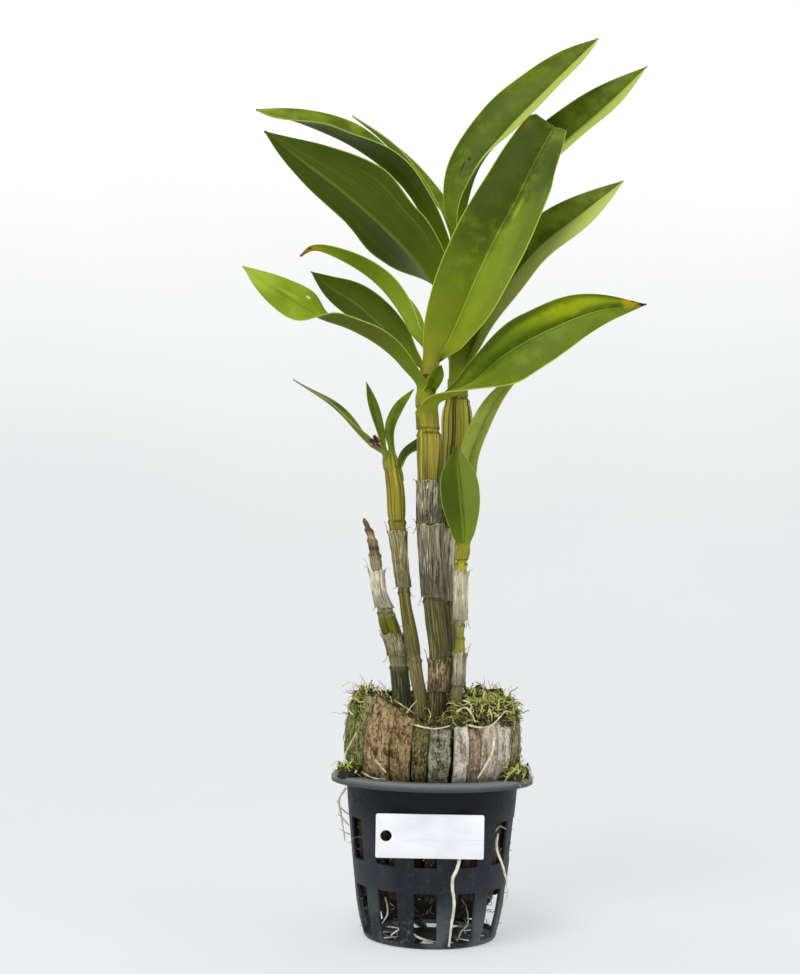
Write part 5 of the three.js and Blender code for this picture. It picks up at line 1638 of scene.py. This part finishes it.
def leaf_finish(leaf, plant):
    name = leaf["name"]
    f = Finish(f"{name}_skin")
    green, deep, young = (tint(c) for c in (plant.leaf, plant.leaf_deep, plant.leaf_young))
    main, dark, bright = {"leaf": (green, deep, young),
                          "young": (young, green, "#a9c04a"),
                          "deep": (between(green, deep, 0.65), deep, green)}[leaf.get("tone", "leaf")]
    main = hue(leaf["front"]) if "front" in leaf else main
    blotched = leaf.get("blotched", 0.7)
    seed = letters(name, 19) * 1.7
    blotch = f.cloud(30, bend=0.6)
    mottle = f.cloud(130, detail=4, rough=0.6)
    vein = f.streaks(46, 1.6, seed, detail=2)
    fine = f.streaks(150, 4, seed, detail=2)

    f.colour = leaf.get("back", between(main, hue("#66732a"), 0.4))
    f.lay(dark, blotch.ramp(0.40, 0.62) * 0.5)
    f.lay("#8f9f4c", vein.ramp(0.5, 0.75) * 0.16)
    # Painted light: one half of the underside is lightened where it faces the light.
    if "lit_half_back" in leaf:
        f.lay("#8ca052", f.u.ramp(0.50, 0.40) * leaf["lit_half_back"])
    back = f.colour

    f.colour = main
    f.lay(dark, blotch.ramp(0.36, 0.60) * blotched)
    f.lay(bright, mottle.ramp(0.50, 0.64) * 0.3)
    f.lay(bright, vein.ramp(0.50, 0.70) * 0.18)
    f.lay(dark, fine.ramp(0.48, 0.70) * 0.2)
    f.lay(dark, mottle.ramp(0.49, 0.38) * blotched * 0.6)
    # Painted light: one half of the upper face is lightened where it faces the light.
    if "half" in leaf:
        f.lay(leaf.get("lit", "#a9bd5e"),
              f.u.ramp(0.505, 0.53) * f.v.ramp(0.0, 0.3) * leaf["half"])
    upper = f.side.ramp(0.4, 0.6)
    f.colour = f.mix(back, f.colour, upper)

    off = f.u.distance(0.5)
    rib = off.ramp(0.020, 0.006) * f.v.ramp(1.0, 0.75)
    groove = off.ramp(0.05, 0.018) * off.ramp(0.008, 0.022) * upper
    f.lay(leaf.get("root", "#93a82c"),
          f.v.ramp(leaf.get("root_reach", 0.38), 0.02) * leaf.get("rooted", 0.4))
    # Painted shade: the groove beside the midrib is darkened.
    f.lay(dark, groove * 0.4)
    f.lay(leaf.get("keel", "#9db84c"), rib * (upper * 0.5 + 0.25))
    for across, along, wide, long, colour, strength in leaf.get("patches", ()):
        x, y = (f.u - across) / wide, (f.v - along) / long
        away = (x * x + y * y) ** 0.5 + ((mottle - 0.5) * 1.2 + (blotch - 0.5) * 0.8)
        f.lay(colour, away.ramp(1.3, 0.45) * f.v.ramp(-0.02, 0.02) * strength)
    husky = f.v.ramp(-0.002, -0.03)
    f.lay(leaf.get("foot", "#98a03c"), f.v.ramp(0.13, 0.0) * 0.6)
    f.lay("#aa9f4c", husky * 0.85)
    f.lay("#6f6430", husky * fine.ramp(0.46, 0.6) * 0.7)
    f.lay("#5e5a1c", husky * vein.ramp(0.48, 0.60) * 0.7)
    f.lay("#d6cf74", husky * vein.ramp(0.47, 0.38) * 0.5)
    # Painted highlight: a pale line along the margins, as light catching the thin edges.
    f.lay("#bccf66", off.ramp(0.482, 0.497) * f.v.ramp(0.0, 0.08) * leaf.get("rim", 0.9))
    speck = f.cells(150).ramp(0.10, 0.05) * f.cloud(60, detail=1).ramp(0.56, 0.62)
    f.lay("#32480f", speck * 0.5)
    f.lay("#eeeeb8", 1.0, "MULTIPLY")
    relief = vein * 0.45 + fine * 0.15 + mottle * 0.25 - groove * 0.6
    rough = 0.38 + mottle * 0.16 + f.v.ramp(0.2, 0.0) * 0.1
    return f.done(rough, f.bump(relief, 0.22, 0.6), Specular_IOR_Level=0.1)


def add_clasp(leaf, points, across, t, place, long, thickness):
    """The blade's points after those of its base, which goes round the cane and is run
    over into the blade's first rows."""
    start = leaf["midrib"][0]
    low, high = leaf.get("sheath", (start[2] - 5.5, start[2]))
    axis = np.array(cane_centre(leaf["cane"], high))
    # The keel is where round the cane the blade leaves it.
    probe = np.argmin(abs(t - 0.07))
    toward = points[probe, len(place) // 2, :2] - axis[:2]
    keel = math.atan2(toward[1], toward[0])
    tangent = np.array([-math.sin(keel), math.cos(keel), 0])
    turn = 1.0 if np.dot(across[probe], tangent) > 0 else -1.0
    reach_up = leaf.get("reach_up", 0.16)
    joined = t[t < reach_up]
    z = np.concatenate([np.linspace(low + 0.6, high, CLASP_ROWS), high + joined * long * 0.75])
    z = z[:, None]
    x, y, r = cane_centre(leaf["cane"], z)
    wide = CLASP_SPAN if "sheath" in leaf else BRACT_SPAN
    span = np.radians(wide - 18 * smoothstep(high - 1, high + 12, z))
    out = 0.15 + leaf.get("clear", 0.0) + 0.5 * smoothstep(low, high, z)
    radius = r + out + (thickness if turn > 0 else 0)
    droop = 1.8 * np.abs(place) ** 2 * smoothstep(low, high, z)
    arc = around(radius, keel + turn * place * span, z - droop, x, y)
    # The first rows of the blade are mixed in over those of the base.
    w = smoothstep(0, reach_up, joined)[:, None, None]
    blended = arc[CLASP_ROWS:] * (1 - w) + points[:len(joined)] * w
    return np.concatenate([arc[:CLASP_ROWS], blended, points[len(joined):]])


def add_blade(shell, leaf, thickness, stations, columns):
    """One folded blade with its clasping base, added to a shell."""
    s = np.linspace(-1, 1, columns + 1)
    place = np.sign(s) * np.abs(s) ** 1.12
    t = np.linspace(0, 1, stations) ** 0.94
    path = Path(leaf["midrib"])
    points, face, across = blade_points(leaf, path, t, place)
    v = t
    if "cane" in leaf:
        points = add_clasp(leaf, points, across, t, place, path.length, thickness)
        v = np.concatenate([np.linspace(CLASP_V, 0, CLASP_ROWS, endpoint=False), t])
        face = np.concatenate([np.repeat(face[:1], CLASP_ROWS, 0), face])
    normal = unit(np.cross(np.gradient(points, axis=1), np.gradient(points, axis=0)))
    middle = len(points) // 2
    if np.dot(normal[middle, columns // 2], face[middle]) < 0:
        normal = -normal
    v = v[:, None]
    t = np.clip(v, 0, 1)
    share = (1 - np.abs(place)[None, :]) ** 2.2
    thick = thickness + (RIB - RIB_TAPER * t - thickness) * share * smoothstep(0, 0.1, t)
    shell.slab(points, points - normal * thick[..., None], (place + 1) / 2, v)


def add_collar(shell, leaf):
    """The closed pipe round the cane under a blade's clasping base."""
    low, high = leaf["sheath"]
    height = np.linspace(low, high, 12)[:, None]
    angle = full_turn(48)
    z = height + 0.35 * np.sin(2 * angle + low) * smoothstep(low, high, height)
    x, y, r = cane_centre(leaf["cane"], z)
    outer = r + 0.34 + 0.28 * smoothstep(low, high, height) + 0.05 * np.cos(10 * angle)
    shell.tube(around(outer, angle, z, x, y), around(r + 0.12, angle, z, x, y), 0.25,
               CLASP_V - CLASP_V * (height - low) / (high - low), mark=0.0)


class ORCHID_OT_leaves(bpy.types.Operator):
    """Make every leaf: a folded, veined blade with its clasping base"""
    bl_idname = "orchid.leaves"
    bl_label = "Leaves"

    def execute(self, context):
        plant = context.scene.orchid_plant
        for key, shape in LEAVES.items():
            name = f"leaf_{key}"
            leaf = dict(shape, name=name, cane=key.split("_")[0])
            shell = Shell()
            add_blade(shell, leaf, plant.leaf_thickness / MM,
                      *(SMALL_BLADE if leaf["width"] < 10 else BLADE))
            if "sheath" in leaf and leaf.get("collar", True):
                add_collar(shell, leaf)
            shell.settled(f"{name}_finished", leaf_finish(leaf, plant),
                          leaf.get("slot", "leaf_green"), name, sharp=70)
        return {"FINISHED"}


# -------- dry flower

FLOWER_HEART = np.array([-29.5, -12.5, 234.0])
FLOWER_AXIS = unit((-0.5, -0.8, 0.2))
PETALS, PETAL_SIZE = 5, 0.74


def flower_finish():
    f = Finish("dry_flower_skin")
    tone = f.cloud(420, detail=4)
    f.bands(tone, (0.34, "#1c0d0a"), (0.48, "#4c2a26"), (0.60, "#8a5a52"), (0.74, "#d9c3b4"))
    f.lay("#7f8a34", f.height.ramp(0.2318, 0.2296) * 0.9)
    return f.done(0.75, f.bump(tone, 0.4, 0.9))


class ORCHID_OT_flower(bpy.types.Operator):
    """Make the withered flower at the left cane's top"""
    bl_idname = "orchid.flower"
    bl_label = "Dry Flower"

    def execute(self, context):
        heart, axis = FLOWER_HEART, FLOWER_AXIS
        across = unit(np.cross((0, 0, 1), axis))
        up = np.cross(axis, across)
        shell = Shell()
        t = np.linspace(0, 1, 20)
        stalk = Path([heart + (4.5, 4, -8), heart + (3, 1.5, -4), heart]).at(t)
        angle = full_turn(12)
        rings = stalk[:, None] + 0.9 * (np.cos(angle)[..., None] * across
                                        + np.sin(angle)[..., None] * axis)
        shell.rod(rings, angle / 6.3, t[:, None], 0.2)
        polar = np.linspace(0.06, 0.94, 14) * math.pi
        knob = []
        for p in polar:
            r = 1.45 * math.sin(p) * (1 + 0.15 * math.sin(5 * p))
            knob.append([heart + r * (math.cos(a) * across + math.sin(a) * up)
                         - 1.6 * math.cos(p) * axis for a in angle[0]])
        shell.rod(knob, angle / 6.3, (polar / math.pi)[:, None])
        for petal in range(PETALS):
            turn = TURN * petal / PETALS + 0.4
            spread = across * math.cos(turn) + up * math.sin(turn)
            line = [heart + PETAL_SIZE * (spread * a + axis * b)
                    for a, b in ((0.8, 0), (2.9, 0.8), (3.4, 2.4), (2.5, 3.9))]
            leaf = dict(name=f"petal_{petal}", width=3.6 * PETAL_SIZE, midrib=line,
                        facing=[axis, -spread], fold=[15, 40 + 6 * petal], neck=0.5,
                        blunt=0.3)
            add_blade(shell, leaf, 0.22, 24, 12)
        shell.settled("dry_flower_finished", flower_finish(), "dry_flower", "dry_flower",
                      sharp=60)
        return {"FINISHED"}


# -------- camera, lights and floor

CAMERA_PLACE = Vector((-0.0168, -0.720, 0.1570))
CAMERA_ROLL = math.radians(1.0)
CAMERA_RISE = math.radians(4.5)
SENSOR = 36.0
# The lens, from its focal length over the height of the picture.
FOCAL = SENSOR * 1482 / 974

# Name, place, aim, size and power of each soft light.
LIGHTS = [
    ("key_overhead", (-0.45, -0.95, 1.75), (0.0, 0.0, 0.22), 0.8, 15.0),
    ("fill_right", (1.45, -0.85, 1.05), (0.0, 0.0, 0.2), 1.0, 2.0),
    ("rim_back", (0.5, 1.25, 1.45), (0.0, 0.0, 0.25), 0.9, 2.5),
]
ROOM_STRENGTH = 0.42
# The floor's outline as radius and height: flat, then a rising sweep, then a wall.
FLOOR_FLAT = 320
FLOOR_PROFILE = [
    (60, 0), (200, 0), (FLOOR_FLAT, 0),
    *((r, 0.000145 * (r - FLOOR_FLAT) ** 2) for r in range(380, 1901, 80)),
    (2150, 620), (2350, 900), (2450, 1300), (2500, 2000), (2500, 2600),
]


def add_camera(scene):
    lens = bpy.data.cameras.new("camera")
    lens.sensor_fit = "AUTO"
    lens.sensor_width = SENSOR
    lens.lens = FOCAL
    lens.clip_start, lens.clip_end = 0.01, 20.0
    camera = linked("camera", lens)
    sin_r, cos_r = math.sin(CAMERA_ROLL), math.cos(CAMERA_ROLL)
    sin_p, cos_p = math.sin(CAMERA_RISE), math.cos(CAMERA_RISE)
    right = Vector((cos_r, 0, sin_r))
    up = Vector((-cos_p * sin_r, -sin_p, cos_p * cos_r))
    back = -Vector((-sin_p * sin_r, cos_p, sin_p * cos_r))
    camera.rotation_mode = "QUATERNION"
    camera.rotation_quaternion = Matrix((right, up, back)).transposed().to_quaternion()
    camera.location = CAMERA_PLACE
    scene.camera = camera


def floor_finish():
    f = Finish("floor_pale")
    f.colour = f.mix("#b4b5b6", "#b0b1b3", f.cloud(1.5, detail=2).ramp(0.3, 0.7))
    glow = f.mix("#a4a6a7", "#d2d2d0", f.height.ramp(-0.1, 1.3))
    return f.done(0.9, Emission_Color=glow, Emission_Strength=1.0, Specular_IOR_Level=0.0)


class ORCHID_OT_stage(bpy.types.Operator):
    """Set the camera, the soft lights and the plain pale floor"""
    bl_idname = "orchid.stage"
    bl_label = "Camera, Lights and Floor"

    def execute(self, context):
        scene = context.scene
        scene.view_settings.view_transform = "Standard"
        scene.view_settings.look = "None"
        add_camera(scene)
        for name, place, aim, size, power in LIGHTS:
            light = bpy.data.lights.new(name, "AREA")
            light.shape = "DISK"
            light.size = size
            light.energy = power
            lamp = linked(name, light)
            lamp.location = place
            lamp.rotation_euler = (Vector(aim) - Vector(place)).to_track_quat("-Z", "Y").to_euler()
        world = bpy.data.worlds.new("soft_room")
        world.use_nodes = True
        colour, strength = world.node_tree.nodes["Background"].inputs[:2]
        colour.default_value = (1, 1, 1, 1)
        strength.default_value = ROOM_STRENGTH
        scene.world = world
        shell = Shell()
        radius, z = np.array(FLOOR_PROFILE).T[..., None]
        shell.cap(shell.grid(around(radius, full_turn(96), z), 0.5, 0.5)[0])
        floor = shell.piece("floor_sweep", floor_finish())
        if floor.data.polygons[0].normal.z < 0:
            floor.data.flip_normals()
        return {"FINISHED"}


# -------- panel and registration

STEPS = ("stage", "pot", "tag", "husk", "ball", "canes", "sheaths", "leaves", "flower",
         "roots", "moss", "fibres")
GROUPS = {"orchid_pot": ORCHID_PG_pot, "orchid_plant": ORCHID_PG_plant,
          "orchid_fill": ORCHID_PG_fill}


class ORCHID_PT_panel(bpy.types.Panel):
    """Lists the orchid's sizes, colours and pieces"""
    bl_idname = "ORCHID_PT_panel"
    bl_label = "Dendrobium Orchid"
    bl_space_type = "VIEW_3D"
    bl_region_type = "UI"
    bl_category = "Orchid"

    def draw(self, context):
        layout = self.layout
        for name, group in GROUPS.items():
            box = layout.box()
            for size in group.__annotations__:
                box.prop(getattr(context.scene, name), size)
        for step in STEPS:
            layout.operator(f"orchid.{step}")


CLASSES = (
    *GROUPS.values(), ORCHID_OT_stage, ORCHID_OT_pot, ORCHID_OT_tag, ORCHID_OT_husk,
    ORCHID_OT_ball, ORCHID_OT_canes, ORCHID_OT_sheaths, ORCHID_OT_leaves, ORCHID_OT_flower,
    ORCHID_OT_roots, ORCHID_OT_moss, ORCHID_OT_fibres, ORCHID_PT_panel,
)


def register():
    for cls in CLASSES:
        bpy.utils.register_class(cls)
    for name, group in GROUPS.items():
        setattr(bpy.types.Scene, name, PointerProperty(type=group))


def unregister():
    for name in GROUPS:
        delattr(bpy.types.Scene, name)
    for cls in reversed(CLASSES):
        bpy.utils.unregister_class(cls)


def main():
    register()
    for step in STEPS:
        getattr(bpy.ops.orchid, step)()
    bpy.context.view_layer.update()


if __name__ == "__main__":
    main()
